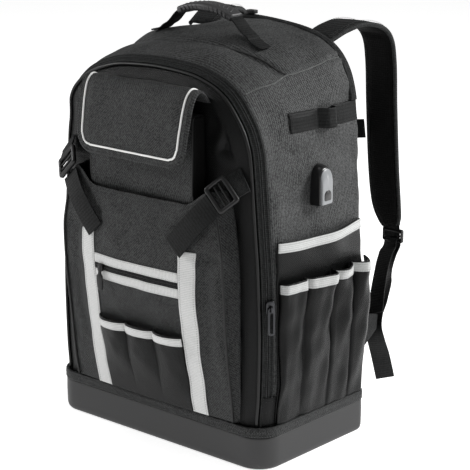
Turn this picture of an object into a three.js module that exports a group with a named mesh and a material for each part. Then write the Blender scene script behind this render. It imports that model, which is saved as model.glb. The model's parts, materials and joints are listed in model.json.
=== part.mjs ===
import * as THREE from "three";

// Tool backpack, in mm. The origin is the middle of the flat underside of the base, +Z is up and the front faces -Y.
// The side with the socket housing is +X.

// Main sizes.
const BASE_W = 360; // width of the moulded base
const BASE_D = 206; // depth of the moulded base
const TRAY_H = 42; // height of the moulded base
const TRAY_WALL = 4; // wall and floor of the moulded base
const TRAY_FRONT_R = 33; // plan radius of its front corners
const TRAY_REAR_R = 15; // plan radius of its rear corners
const BINDING_H = 12.5; // height of the fabric band round the top of the base
const CLOTH = 2.6; // wall of the bag: cloth, foam and lining
const THIN = 1.8; // wall of the patch pockets
const WEB = 1.6; // thickness of webbing
const TAPE = 1.0; // thickness of the light tapes
const GAP = 0.35; // air between neighbouring pieces
const FRONT_RIM = 30; // radius of the edge between front and sides
const REAR_RIM = 11; // radius of the edge between sides and back
const ZIP_FROM = 44; // the main zip strip covers the front edge between these two angles, in degrees
const ZIP_TO = 72;
const FLAP_HALF = 95; // half width of the flap at its crest
const FLAP_FOOT = 89; // half width of the flap at its foot
const FLAP_T = 5; // padded thickness of the flap
const STRAP_W = 48; // width of the padded shoulder straps
const STRAP_T = 10; // their padded thickness
const WEB_W = 25; // width of the narrow webbing
const HANDLE_W = 22; // width of the webbing that holds the handle grip
const COMPRESSION_W = 30; // width of the compression webbing
const GRIP_W = 28; // width of the moulded handle grip
const GRIP_T = 11; // its thickness

// Half width and the two faces of the bag, set from the inside of the base so that the bag stands in it.
const HALF_W = BASE_W / 2 - TRAY_WALL - 1;
const FRONT_Y = TRAY_WALL + 1 - BASE_D / 2;
const REAR_Y = BASE_D / 2 - TRAY_WALL - 1;
const FLOOR_Z = TRAY_WALL + 0.6;
const BAND_TOP = TRAY_H + GAP + BINDING_H;

// Outline of the bag seen from the front, from the floor up the right side to the middle of the top. Columns: x past
// the half width and z at the front edge, then the same two at the rear edge.
const ARCH = [
  [0, FLOOR_Z, 0, FLOOR_Z],
  [-2.5, 56, -1, 56],
  [0, 93, 1, 93],
  [1.5, 168, 2, 168],
  [-1, 240, -0.5, 240],
  [-6, 303, -3.5, 303],
  [-10, 350, -5, 352],
  [-13.5, 387, -8, 402],
  [-21, 413, -11, 432],
  [-37, 439, -18, 460],
  [-60, 463, -33, 485],
  [-88, 477, -57, 502],
  [-122, 485, -98, 513],
];
const CROWN = [488, 519]; // height of the top at the middle, at the front edge and at the rear edge
const SAG = 16; // how much lower the soft top is at its rear left than at its rear right
const FULL = 17; // how much fuller its front left shoulder is than the right one
// How far the outline has gone from the front shape to the rear shape. Columns: y, share. The dip is the seam across
// the top.
const RISE = [
  [-76, 0],
  [-40, 0.28],
  [-13, 0.42],
  [-7, 0.36],
  [1, 0.52],
  [30, 0.8],
  [60, 0.94],
  [87, 1],
];

const rad = (deg) => (deg * Math.PI) / 180;
const v3 = (x, y, z) => new THREE.Vector3(x, y, z);
const mix = (a, b, t) => a + (b - a) * t;
const span = (n, a = 0, b = 1) => Array.from({ length: n + 1 }, (_, i) => mix(a, b, i / n));
const clamp = (t) => Math.min(1, Math.max(0, t));

// The row of a table at the value k of its first column, straight between the rows.
function at(table, k) {
  let i = 0;
  while (i < table.length - 2 && k > table[i + 1][0]) i++;
  const t = clamp((k - table[i][0]) / (table[i + 1][0] - table[i][0]));
  return table[i].map((a, c) => mix(a, table[i + 1][c], t));
}

// A closed body from its points and triangles, turned so that its faces point out.
function body(points, faces) {
  const volume = faces.reduce((sum, [a, b, c]) => {
    return sum + points[a].dot(points[b].clone().cross(points[c]));
  }, 0);
  const out = volume < 0 ? faces.map(([a, b, c]) => [a, c, b]) : faces;
  const geometry = new THREE.BufferGeometry();
  geometry.setAttribute("position", new THREE.Float32BufferAttribute(points.flatMap((p) => p.toArray()), 3));
  geometry.setIndex(out.flat());
  return geometry;
}

// A body through rings of equal count, with a fan over the first and the last. With round set, the last ring joins
// the first instead.
function loft(rings, round = false) {
  const n = rings[0].length;
  const points = rings.flat();
  const faces = [];
  const last = round ? rings.length : rings.length - 1;
  for (let r = 0; r < last; r++)
    for (let i = 0; i < n; i++) {
      const a = r * n + i;
      const b = r * n + ((i + 1) % n);
      const c = ((r + 1) % rings.length) * n + i;
      const d = ((r + 1) % rings.length) * n + ((i + 1) % n);
      faces.push([a, b, d], [a, d, c]);
    }
  if (!round)
    for (const [r, turn] of [
      [0, true],
      [rings.length - 1, false],
    ]) {
      const centre = points.length;
      points.push(rings[r].reduce((s, p) => s.add(p), v3(0, 0, 0)).divideScalar(n));
      for (let i = 0; i < n; i++) {
        const pair = [r * n + i, r * n + ((i + 1) % n)];
        faces.push(turn ? [centre, pair[1], pair[0]] : [centre, pair[0], pair[1]]);
      }
    }
  return body(points, faces);
}

// A sheet between two surfaces over the same grid. us and vs list the grid values. With round set, the last column
// joins the first.
function sheet(us, vs, outer, inner, round = false) {
  const sections = us.map((u) => [...vs.map((v) => outer(u, v)), ...vs.map((v) => inner(u, v)).reverse()]);
  if (round) return loft(sections, true);
  return caplessLoft(sections, vs.length);
}

// The loft of sections that are strips: each end is closed by quads between its two sides, so that a curved section
// closes without a fan.
function caplessLoft(sections, m) {
  const n = 2 * m;
  const points = sections.flat();
  const faces = [];
  for (let r = 0; r < sections.length - 1; r++)
    for (let i = 0; i < n; i++) {
      const j = (i + 1) % n;
      faces.push([r * n + i, r * n + j, (r + 1) * n + j], [r * n + i, (r + 1) * n + j, (r + 1) * n + i]);
    }
  for (const [r, turn] of [
    [0, true],
    [sections.length - 1, false],
  ])
    for (let i = 0; i < m - 1; i++) {
      const q = [r * n + i, r * n + i + 1, r * n + n - 2 - i, r * n + n - 1 - i];
      const pair = [
        [q[0], q[1], q[2]],
        [q[0], q[2], q[3]],
      ];
      for (const [a, b, c] of pair) faces.push(turn ? [a, c, b] : [a, b, c]);
    }
  return body(points, faces);
}

// A smooth path through the rows of a table whose first three columns are x, y, z. Each step gives the place, the
// direction and the row there.
function path(rows, steps) {
  const curve = new THREE.CatmullRomCurve3(rows.map((r) => v3(r[0], r[1], r[2])));
  return span(steps).map((t) => {
    const k = t * (rows.length - 1);
    const i = Math.min(rows.length - 2, Math.floor(k));
    return {
      p: curve.getPoint(t),
      t: curve.getTangent(t),
      row: rows[i].map((a, c) => mix(a, rows[i + 1][c], k - i)),
    };
  });
}

// Webbing along a path. The fourth column of the rows is its width, and side is the direction of that width. A fifth
// column, where the webbing twists, is the heading of the width in degrees and takes the place of side.
function ribbon(rows, side, thick, steps) {
  return loft(
    path(rows, steps).map(({ p, t, row }) => {
      const width = row.length > 4 ? v3(Math.cos(rad(row[4])), Math.sin(rad(row[4])), 0) : side.clone();
      const s = width.addScaledVector(t, -width.dot(t)).normalize();
      const n = s.clone().cross(t).normalize();
      const w = row[3] / 2;
      return [
        [w, 1],
        [-w, 1],
        [-w, -1],
        [w, -1],
      ].map(([a, b]) => p.clone().addScaledVector(s, a).addScaledVector(n, (b * thick) / 2));
    }),
  );
}

// A round cord through listed points. up is a direction that the cord never runs along.
function cord(points, r, sides, up) {
  return loft(
    points.map((p, i) => {
      const t = points[Math.min(i + 1, points.length - 1)].clone().sub(points[Math.max(i - 1, 0)]).normalize();
      const a = up.clone().cross(t).normalize();
      const b = t.clone().cross(a);
      return span(sides)
        .slice(0, sides)
        .map((k) =>
          p
            .clone()
            .addScaledVector(a, r * Math.cos(2 * Math.PI * k))
            .addScaledVector(b, r * Math.sin(2 * Math.PI * k)),
        );
    }),
  );
}

// A rounded rectangle as points in its own plane: half sizes, corner radius, steps a corner.
function roundRect(a, b, r, steps = 3) {
  const corners = [
    [1, 1, 0],
    [-1, 1, 90],
    [-1, -1, 180],
    [1, -1, 270],
  ];
  return corners.flatMap(([sx, sy, from]) =>
    span(steps).map((k) => {
      const g = rad(from + 90 * k);
      return [sx * (a - r) + r * Math.cos(g), sy * (b - r) + r * Math.sin(g)];
    }),
  );
}

// Plan of the base, set in by some amount from its outer wall: front and rear corners have their own radii.
function basePlan(inset, z) {
  const a = BASE_W / 2 - inset;
  const b = BASE_D / 2 - inset;
  const corners = [
    [1, 1, 0, TRAY_REAR_R],
    [-1, 1, 90, TRAY_REAR_R],
    [-1, -1, 180, TRAY_FRONT_R],
    [1, -1, 270, TRAY_FRONT_R],
  ];
  return corners.flatMap(([sx, sy, from, full]) => {
    const r = Math.max(full - inset, 2);
    return span(6).map((k) => {
      const g = rad(from + 90 * k);
      return v3(sx * (a - r) + r * Math.cos(g), sy * (b - r) + r * Math.sin(g), z);
    });
  });
}

// Right half of the outline of the bag at y, as x and z from the floor to the middle of the top.
function halfOutline(y) {
  const t = at(RISE, y)[1];
  const side = ARCH.map(([xf, zf, xr, zr]) => [HALF_W + mix(xf, xr, t), mix(zf, zr, t)]);
  return [...side, [0, mix(CROWN[0], CROWN[1], t)]];
}

// The whole outline at y, moved inwards by some amount, from the right floor over the top to the left floor.
function arch(y, inset = 0, floor = FLOOR_Z) {
  const half = halfOutline(y);
  const set = half.map(([x, z], i) => {
    const a = half[Math.max(i - 1, 0)];
    const b = half[Math.min(i + 1, half.length - 1)];
    const dx = i === half.length - 1 ? -1 : b[0] - a[0];
    const dz = i === half.length - 1 ? 0 : b[1] - a[1];
    const length = Math.hypot(dx, dz);
    if (i === 0) return [x - inset, floor];
    return [x - (inset * dz) / length, z + (inset * dx) / length];
  });
  const left = set.slice(0, -1).reverse();
  const sag = SAG * clamp(y / 60);
  const full = FULL * clamp((-40 - y) / 37);
  const uneven = (x, z) => {
    const swell = full * clamp((z - 425) / 14) * clamp(x / 150) ** 2;
    return v3(-x - swell, y, z - sag * clamp(x / 80) * clamp((z - 440) / 60));
  };
  return [...set.map(([x, z]) => v3(x, y, z)), ...left.map(([x, z]) => uneven(x, z))];
}

// The rounded front edge: angle 0 is the front face, 90 degrees is the side. r is the radius there.
const frontRim = (deg, r = FRONT_RIM) => [
  FRONT_Y + FRONT_RIM - r * Math.cos(rad(deg)),
  FRONT_RIM - r * Math.sin(rad(deg)),
];
// The rounded rear edge: angle 0 is the side, 90 degrees is the back.
const rearRim = (deg, r = REAR_RIM) => [
  REAR_Y - REAR_RIM + r * Math.sin(rad(deg)),
  REAR_RIM - r * Math.cos(rad(deg)),
];

// Half width of the bag at y and z, and height of its top at x and y.
function sideX(y, z) {
  const half = halfOutline(y).map(([x, h]) => [h, x]);
  return at(half, z)[1];
}
function topZ(x, y) {
  const half = halfOutline(y)
    .map(([w, h]) => [w, h])
    .reverse();
  return at(half, Math.abs(x))[1];
}

const group = new THREE.Group();
const paint = (color, roughness, metalness = 0) => new THREE.MeshStandardMaterial({ color, roughness, metalness });
const CLOTH_BLACK = paint(0x303132, 0.85);
const WEB_BLACK = paint(0x1c1c1d, 0.8);
const TAPE_GREY = paint(0xd9dad9, 0.7);
const PIPING_WHITE = paint(0xf0f0ee, 0.6);
const RUBBER_GREY = paint(0x4d4d4d, 0.7);
const PLASTIC_BLACK = paint(0x1a1a1a, 0.45);
const ZIP_BLACK = paint(0x161616, 0.5);
const METAL = paint(0x55565a, 0.35, 0.9);
const HOUSING = paint(0x8c8f92, 0.4);

function add(name, geometry, material) {
  const mesh = new THREE.Mesh(geometry, material);
  mesh.name = name;
  group.add(mesh);
}
// The same body on the left side.
function mirrored(geometry) {
  const g = geometry.clone().applyMatrix4(new THREE.Matrix4().makeScale(-1, 1, 1));
  const index = Array.from(g.index.array);
  for (let i = 0; i < index.length; i += 3) [index[i + 1], index[i + 2]] = [index[i + 2], index[i + 1]];
  g.setIndex(index);
  return g;
}
function addPair(name, geometry, material) {
  add(name + "_right", geometry, material);
  add(name + "_left", mirrored(geometry), material);
}

// Moulded base: an open tray. Columns: inset from the outer wall, z.
const TRAY = [
  [TRAY_WALL, TRAY_WALL],
  [TRAY_WALL, TRAY_H],
  [0, TRAY_H],
  [0, 6],
  [1.8, 1.8],
  [5, 0],
];
add("base_tray", loft(TRAY.map(([inset, z]) => basePlan(inset, z))), RUBBER_GREY);

// Fabric band round the top of the base, a closed ring.
const band = [
  [-0.9, TRAY_H + GAP],
  [-0.9, BAND_TOP - 1.5],
  [0.4, BAND_TOP],
  [3.4, BAND_TOP],
  [3.4, TRAY_H + GAP],
].map(([inset, z]) => basePlan(inset, z));
add("base_binding", loft(band, true), CLOTH_BLACK);

// The bag behind the main zip: floor, sides, top and back, open towards the zip.
const ribs = [-40, -13, -7, 1, 30, 60];
const bagOuter = [
  frontRim(ZIP_TO + 1),
  ...ribs.map((y) => [y, 0]),
  ...[0, 30, 60, 90].map((deg) => rearRim(deg)),
];
const bagInner = [
  frontRim(ZIP_TO + 1, FRONT_RIM - CLOTH),
  ...[-13, 1, 60].map((y) => [y, CLOTH]),
  ...[0, 45, 90].map((deg) => rearRim(deg, REAR_RIM - CLOTH)),
];
add(
  "body_shell",
  loft([
    ...bagInner.reverse().map(([y, inset]) => arch(y, inset, FLOOR_Z + CLOTH)),
    ...bagOuter.map(([y, inset]) => arch(y, inset)),
  ]),
  CLOTH_BLACK,
);

// Front panel of the main compartment: a dish with its rim turned back to the zip.
const panelInner = [0, 20, 42].map((deg) => frontRim(deg, FRONT_RIM - 3));
const panelOuter = [42, 28, 14, 0].map((deg) => frontRim(deg));
add(
  "front_panel",
  loft([
    ...panelInner.map(([y, inset]) => arch(y, inset)),
    ...panelOuter.map(([y, inset]) => arch(y, inset)),
  ]),
  CLOTH_BLACK,
);

// Main zip strip, on the rounded edge between front panel and bag.
const stations = span(2 * ARCH.length).map((k) => Math.round(k * 2 * ARCH.length));
const onRim = (r) => (i, deg) => {
  const [y, inset] = frontRim(deg, r);
  return arch(y, inset)[i];
};
add(
  "main_zip_strip",
  sheet(stations, [ZIP_FROM, 56, 68, ZIP_TO], onRim(FRONT_RIM), onRim(FRONT_RIM - 2)),
  ZIP_BLACK,
);

// Cord piping along the edge of the front panel, from the band over the top and down again.
const PIPE_R = 2;
const pipeDeg = 38;
const pipeRing = arch(...frontRim(pipeDeg, FRONT_RIM + PIPE_R + GAP));
add(
  "front_piping",
  cord([...pipeRing.slice(1, -1)].map((p, i, all) => {
    const end = i === 0 || i === all.length - 1;
    return end ? v3(p.x, p.y, BAND_TOP + 1) : p;
  }), PIPE_R, 6, v3(0, 1, 0)),
  CLOTH_BLACK,
);

// Fabric patches over the lower ends of the main zip.
const GARAGE_H = 37;
const patch = (lift) => (deg, z) => {
  const [y, inset] = frontRim(deg, FRONT_RIM + lift);
  return v3(sideX(y, z) - inset, y, z);
};
addPair(
  "zip_garage",
  sheet([46, 57, 68, 79], [BAND_TOP + 0.6, BAND_TOP + GARAGE_H], patch(1.6), patch(GAP)),
  CLOTH_BLACK,
);

// Slider of the main zip and its pull, hanging down the strip.
const SLIDER_Z = 207;
const sliderDeg = 62;
const [sliderY, sliderIn] = frontRim(sliderDeg, FRONT_RIM + GAP);
const sliderX = sideX(sliderY, SLIDER_Z) - sliderIn;
// A block set on the rounded edge at the zip: half width, half height, near and far face from the strip.
const zipOut = v3(Math.sin(rad(sliderDeg)), -Math.cos(rad(sliderDeg)), 0);
const zipAcross = v3(Math.cos(rad(sliderDeg)), Math.sin(rad(sliderDeg)), 0);
const zipPoint = (a, d, z) => v3(sliderX, sliderY, z).addScaledVector(zipAcross, a).addScaledVector(zipOut, d);
function onZip(width, heights, near, far, r) {
  const mid = (heights[0] + heights[1]) / 2;
  const flat = roundRect(width / 2, (heights[1] - heights[0]) / 2, r);
  return [near, far].map((d) => flat.map(([a, b]) => zipPoint(a, d, mid + b)));
}
add("main_zip_slider", loft(onZip(11, [SLIDER_Z - 8, SLIDER_Z + 8], 0, 5, 3)), METAL);
// The pull is a flat loop: outer and inner ring, near and far face, closed round its section.
const pullOuter = onZip(9, [SLIDER_Z - 34, SLIDER_Z + 1], 6.4, 8.2, 3);
const pullInner = onZip(4, [SLIDER_Z - 31, SLIDER_Z - 3], 6.4, 8.2, 0.8);
add("main_zip_pull", loft([pullOuter[0], pullOuter[1], pullInner[1], pullInner[0]], true), METAL);
// Bridge on the slider round the top bar of the pull. Columns: inner and outer line, each as distance off the strip
// and height.
const BRIDGE = [
  [5 + GAP, -3.5, 5 + GAP, -5],
  [9.7, -3.5, 11.2, -5],
  [9.7, 1.5, 11.2, 3],
  [5 + GAP, 1.5, 5 + GAP, 3],
];
const bridgeRing = (row) =>
  [
    [-1.5, row[0], row[1]],
    [1.5, row[0], row[1]],
    [1.5, row[2], row[3]],
    [-1.5, row[2], row[3]],
  ].map(([a, d, z]) => zipPoint(a, d, SLIDER_Z + z));
add("main_zip_bridge", loft(BRIDGE.map(bridgeRing)), METAL);

// Zip of the rear compartment: a raised strip over the top, ending on both sides at the same height.
const REAR_ZIP = [REAR_Y - 18, REAR_Y - 13, REAR_Y - 8];
const rearFrom = 8;
const overTop = (lift) => (i, y) => arch(y, -lift)[i];
add(
  "rear_zip_strip",
  sheet(
    stations.slice(rearFrom, stations.length - rearFrom),
    REAR_ZIP,
    (i, y) => overTop(y === REAR_ZIP[1] ? 3.6 : 2.2)(i, y),
    overTop(GAP),
  ),
  ZIP_BLACK,
);
const rearTop = topZ(0, REAR_ZIP[1]) + 3.6 + GAP;
const rearSlider = (x, halfX, halfY, from, to) =>
  loft([from, to].map((z) => roundRect(halfX, halfY, 2.5).map(([a, b]) => v3(x + a, REAR_ZIP[1] + b, rearTop + z))));
add("rear_zip_slider", rearSlider(0, 7, 5.2, 0, 4.5), METAL);

// Lower front pocket. Columns: z, half width of its face, how far the middle and the edge of the face stand off the
// front panel, half width where it meets the panel.
const LOWER = [
  [BAND_TOP + 0.6, 133, 8, 5, 140],
  [83, 134, 15, 9, 141],
  [153, 133, 29, 17, 141],
  [218, 134, 38, 23, 141],
  [265, 133, 40, 25, 139],
  [303, 124, 37, 25, 132],
  [324, 113, 34, 25, 120],
];
const POCKET_X = 0; // x of the middle of the front pockets
const WING = 20; // how far the corners of the pocket are drawn up
const POCKET_FLOOR = 75;
const POCKET_TOP = LOWER[LOWER.length - 1][0];
// How far the face stands off the front panel at x and z.
function stand(x, z) {
  const [, half, mid, edge] = at(LOWER, z);
  const u = clamp(Math.abs(x - POCKET_X) / half);
  return edge + (mid - edge) * (1 - u * u);
}
const faceU = [-1, -0.9, -0.72, -0.5, -0.25, 0, 0.25, 0.5, 0.72, 0.9, 1];
function pocketRing(z, inset, top) {
  const [, half, mid, edge, back] = at(LOWER, z);
  const rise = (u) => (top ? WING * clamp((Math.abs(u) - 0.7) / 0.3) : 0);
  const face = faceU.map((u) => {
    const out = edge + (mid - edge) * (1 - u * u) - inset;
    return v3(POCKET_X + u * (half - inset), FRONT_Y - out, z + rise(u));
  });
  const y = FRONT_Y - GAP - (inset ? THIN : 0);
  return [v3(POCKET_X - back + inset, y, z), ...face, v3(POCKET_X + back - inset, y, z)];
}
const lowerZ = LOWER.map((r) => r[0]);
add(
  "lower_pocket",
  loft([
    ...[POCKET_FLOOR, ...lowerZ.slice(2)].map((z) => pocketRing(z, THIN, z === POCKET_TOP)),
    ...lowerZ.reverse().map((z) => pocketRing(z, 0, z === POCKET_TOP)),
  ]),
  CLOTH_BLACK,
);
// Piping up both sides of its face.
const lowerEdge = span(8, BAND_TOP + 2.5, 298).map((z) => {
  const [, half, , edge] = at(LOWER, z);
  return v3(POCKET_X + half + 1.3, FRONT_Y - edge - 1.5, z);
});
add("lower_pocket_piping_right", cord(lowerEdge, 1.4, 6, v3(0, 1, 0)), CLOTH_BLACK);
add(
  "lower_pocket_piping_left",
  cord(
    lowerEdge.map((p) => v3(2 * POCKET_X - p.x, p.y, p.z)),
    1.4,
    6,
    v3(0, 1, 0),
  ),
  CLOTH_BLACK,
);

// Point on the lower pocket, lifted off its face.
const onPocket = (x, z, lift) => v3(x, FRONT_Y - stand(x, z) - lift, z);
// Vertical light tapes. Columns: z, distance of the tape's middle from the middle of the pocket.
const TAPE_LINE = [
  [BAND_TOP + 1, 83],
  [153, 83.5],
  [264, 83.5],
];
const TAPE_W = 24;
const tapeZ = [BAND_TOP + 1, 83, 153, 218, 264];
for (const [name, sign] of [
  ["front_tape_right", 1],
  ["front_tape_left", -1],
]) {
  const spot = (u, z) => POCKET_X + sign * at(TAPE_LINE, z)[1] + u;
  add(
    name,
    sheet(
      tapeZ,
      [-TAPE_W / 2, 0, TAPE_W / 2],
      (z, u) => onPocket(spot(u, z), z, GAP + TAPE),
      (z, u) => onPocket(spot(u, z), z, GAP),
    ),
    TAPE_GREY,
  );
}

// Band across the pocket between the vertical tapes: z range, lift of its near and far side.
function across(z0, z1, near, far) {
  const spot = (u, z) => POCKET_X + u * (at(TAPE_LINE, z)[1] - TAPE_W / 2 - 0.5);
  return sheet(
    span(8, -1, 1),
    [z0, z1],
    (u, z) => onPocket(spot(u, z), z, far),
    (u, z) => onPocket(spot(u, z), z, near),
  );
}
const TAPE_H = 12;
const ZIP_MID = 224; // height of the pocket zip
const ZIP_H = 8;
add("zip_tape_upper", across(ZIP_MID + ZIP_H / 2 + GAP, ZIP_MID + ZIP_H / 2 + TAPE_H, GAP, GAP + TAPE), TAPE_GREY);
add("zip_tape_lower", across(ZIP_MID - ZIP_H / 2 - TAPE_H, ZIP_MID - ZIP_H / 2 - GAP, GAP, GAP + TAPE), TAPE_GREY);
add("pocket_zip", across(ZIP_MID - ZIP_H / 2, ZIP_MID + ZIP_H / 2, GAP, GAP + 1.6), ZIP_BLACK);
const PULL_X = POCKET_X - 56;
function pocketBlock(width, z0, z1, near, far) {
  const y = FRONT_Y - stand(PULL_X, ZIP_MID) - 2 * GAP - 1.6;
  return loft(
    [near, far].map((d) =>
      roundRect(width / 2, (z1 - z0) / 2, 2).map(([a, b]) => v3(PULL_X + a, y - d, (z0 + z1) / 2 + b)),
    ),
  );
}
add("pocket_zip_slider", pocketBlock(8, ZIP_MID - 5, ZIP_MID + 5, GAP, 4), METAL);
add("pocket_zip_pull", pocketBlock(7, ZIP_MID - 30, ZIP_MID + 2, 4 + GAP, 7), PLASTIC_BLACK);

// Three tool loops across the lower pocket: cloth that bulges out at its upper edge and lies flat at the base.
const LOOP_TOP = 158;
const LOOP_BULGE = 11;
const loopU = span(18, -1, 1);
const bulge = (u) => Math.abs(Math.sin(((u + 1) / 2) * 3 * Math.PI)) ** 0.7;
const loopOut = (u, z) => LOOP_BULGE * bulge(u) * clamp((z - BAND_TOP - 8) / (LOOP_TOP - BAND_TOP - 8)) ** 1.4;
const loopPoint = (u, z, lift) => {
  const x = POCKET_X + u * (at(TAPE_LINE, z)[1] - TAPE_W / 2 - 0.6);
  return onPocket(x, z, lift + loopOut(u, z));
};
add(
  "front_tool_loops",
  sheet(
    loopU,
    [BAND_TOP + 1, 92, 128, LOOP_TOP],
    (u, z) => loopPoint(u, z, GAP + THIN),
    (u, z) => loopPoint(u, z, GAP),
  ),
  CLOTH_BLACK,
);
add(
  "front_loop_trim",
  sheet(
    loopU,
    [LOOP_TOP - 12, LOOP_TOP - 3],
    (u, z) => loopPoint(u, z, 2 * GAP + THIN + TAPE + 0.6),
    (u, z) => loopPoint(u, z, 2 * GAP + THIN + 0.6),
  ),
  TAPE_GREY,
);

// Upper pocket, under the flap. Columns: z, half width, how far its front stands off the front panel.
const UPPER = [
  [334, 88, 21],
  [348, 89, 24],
  [400, 89, 26],
  [430, 88, 24],
];
function upperRing([z, half, out], inset) {
  const near = GAP + inset;
  const mid = FRONT_Y - (near + out - inset) / 2;
  const flat = roundRect(half - inset, (out - inset - near) / 2, 7 - inset);
  return flat.map(([a, b]) => v3(POCKET_X + a, mid + b, z));
}
add(
  "upper_pocket",
  loft([
    ...UPPER.map((row, i) => upperRing([row[0] + (i ? 0 : THIN), row[1], row[2]], THIN)),
    ...UPPER.map((row) => upperRing(row, 0)).reverse(),
  ]),
  CLOTH_BLACK,
);

// Flap: out of the front panel, over the pocket and down. Columns: off the front panel, z.
const FLAP = [
  [GAP + 0.5, 449],
  [7, 457],
  [14, 462],
  [21, 463],
  [28, 457],
  [34, 444],
  [39, 422],
  [43, 398],
  [45, 370],
];
const FLAP_R = 24; // radius of its lower corners
const flapSteps = path(
  FLAP.map(([out, z]) => [0, FRONT_Y - out, z]),
  20,
);
const flapFoot = FLAP[FLAP.length - 1][1];
function flapPoint(u, k, depth) {
  const { p, t } = flapSteps[k];
  const low = clamp(1 - (p.z - flapFoot) / FLAP_R);
  const cut = k > 8 ? FLAP_R * (1 - Math.sqrt(1 - Math.min(low, 0.985) ** 2)) : 0;
  const n = v3(0, t.z, -t.y);
  const half = mix(FLAP_HALF, FLAP_FOOT, k / (flapSteps.length - 1));
  return v3(POCKET_X + u * (half - cut), p.y, p.z).addScaledVector(n, -depth);
}
const flapK = flapSteps.map((_, k) => k);
add(
  "flap",
  sheet(
    flapK,
    [-1, -0.5, 0, 0.5, 1],
    (k, u) => flapPoint(u, k, 0),
    (k, u) => flapPoint(u, k, FLAP_T),
  ),
  CLOTH_BLACK,
);
// Light piping set in from the bound edge: down one side, round the foot, up the other. It lies on the flap, so each
// point is set off the slope of the flap.
const PIPE_IN = 10;
const PIPING = 1.2;
const pipeFoot = flapFoot + PIPE_IN;
const pipeCorner = FLAP_R - PIPE_IN + 4;
const pipeHalf = (z) => mix(FLAP_FOOT, FLAP_HALF, (z - flapFoot) / 110) - PIPE_IN;
const pipeSide = [
  ...span(5, 458, pipeFoot + pipeCorner).map((z) => [pipeHalf(z), z]),
  ...[30, 60, 90].map((deg) => [
    pipeHalf(pipeFoot) - pipeCorner + pipeCorner * Math.cos(rad(deg)),
    pipeFoot + pipeCorner - pipeCorner * Math.sin(rad(deg)),
  ]),
];
const flapFront = flapSteps.filter(({ p }, k) => k > 8 && p.z < 462).map(({ p }) => [-p.z, p.y]);
const pipePoint = ([x, z]) => {
  const y = at(flapFront, -z)[1];
  const slope = (at(flapFront, -z + 2)[1] - at(flapFront, -z - 2)[1]) / 4;
  return v3(POCKET_X + x, y, z).addScaledVector(v3(0, -1, -slope).normalize(), PIPING + 2 * GAP);
};
add(
  "flap_piping",
  cord(
    [...pipeSide.map(pipePoint), ...pipeSide.map(([x, z]) => [-x, z]).reverse().map(pipePoint)],
    PIPING,
    6,
    v3(0, 1, 0),
  ),
  PIPING_WHITE,
);

// Compression strap: webbing from the lower pocket up to the buckle. Columns: x from the middle of the pocket, off
// the front panel, z, width.
const STRAP_UP = [
  [66, 38, 271, COMPRESSION_W],
  [81, 38, 288, COMPRESSION_W],
  [97, 36.4, 306, COMPRESSION_W],
  [109, 32.4, 319, COMPRESSION_W],
  [121, 26.2, 332.1, 28],
];
const upSide = v3(1, 0, -1).normalize();
function upRows(rows, sign) {
  return rows.map(([x, out, z, w]) => [POCKET_X + sign * x, FRONT_Y - out, z, w]);
}
// Buckle: a frame round its slot, tilted with the strap. x, out0 and z place its middle, and back is how far it leans
// towards the panel.
function buckle(sign, x, out0, z, back) {
  const mid = v3(POCKET_X + sign * x, FRONT_Y - out0, z);
  const along = v3(sign * 0.66, back, 0.62).normalize();
  const over = v3(sign, 0, -1).normalize().addScaledVector(along, -v3(sign, 0, -1).normalize().dot(along)).normalize();
  const out = along.clone().cross(over).normalize();
  const ring = (a, b, r, d) =>
    roundRect(a, b, r).map(([p, q]) =>
      mid
        .clone()
        .addScaledVector(over, p)
        .addScaledVector(along, q)
        .addScaledVector(out, d),
    );
  return loft([ring(19, 15, 4, -3), ring(19, 15, 4, 3), ring(14, 8, 2, 3), ring(14, 8, 2, -3)], true);
}
for (const [side, sign, ...place] of [
  ["right", 1, 131, 22.4, 345, 0.47],
  ["left", -1, 131, 21.5, 345, 0.55],
]) {
  add(
    "compression_strap_" + side,
    ribbon(upRows(STRAP_UP, sign), v3(sign * upSide.x, 0, upSide.z), WEB, 6),
    WEB_BLACK,
  );
  add("compression_buckle_" + side, buckle(sign, ...place), PLASTIC_BLACK);
  const tab = [
    [140.6, 12.8, 354.6, 30],
    [146, 4.7, 360, 32],
    [149, 1.8, 362, 30],
  ];
  add(
    "compression_anchor_" + side,
    ribbon(upRows(tab, sign), v3(sign * upSide.x, 0, upSide.z), 2, 3),
    CLOTH_BLACK,
  );
}

// Side pocket: a flat patch over the side below its light trim. Its upper edge sags towards the front.
const SIDE_FROM = FRONT_Y + FRONT_RIM - 4; // y where the side pieces start, just behind the zip strip
const SIDE_TO = REAR_Y - REAR_RIM + 3;
const sideEdge = (y) => mix(283, 288, ((y - SIDE_FROM) / (SIDE_TO - SIDE_FROM)) ** 1.2);
const POUCH = 8; // how far the side pocket stands open at its upper edge
const sideY = [0, 0.08, 0.25, 0.5, 0.75, 0.92, 1].map((k) => mix(SIDE_FROM, SIDE_TO, k));
const sideOut = (y, k) => {
  const u = (y - SIDE_FROM) / (SIDE_TO - SIDE_FROM);
  return POUCH * Math.sin(Math.PI * u) ** 0.8 * clamp((k - 0.15) / 0.85) ** 1.5;
};
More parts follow.
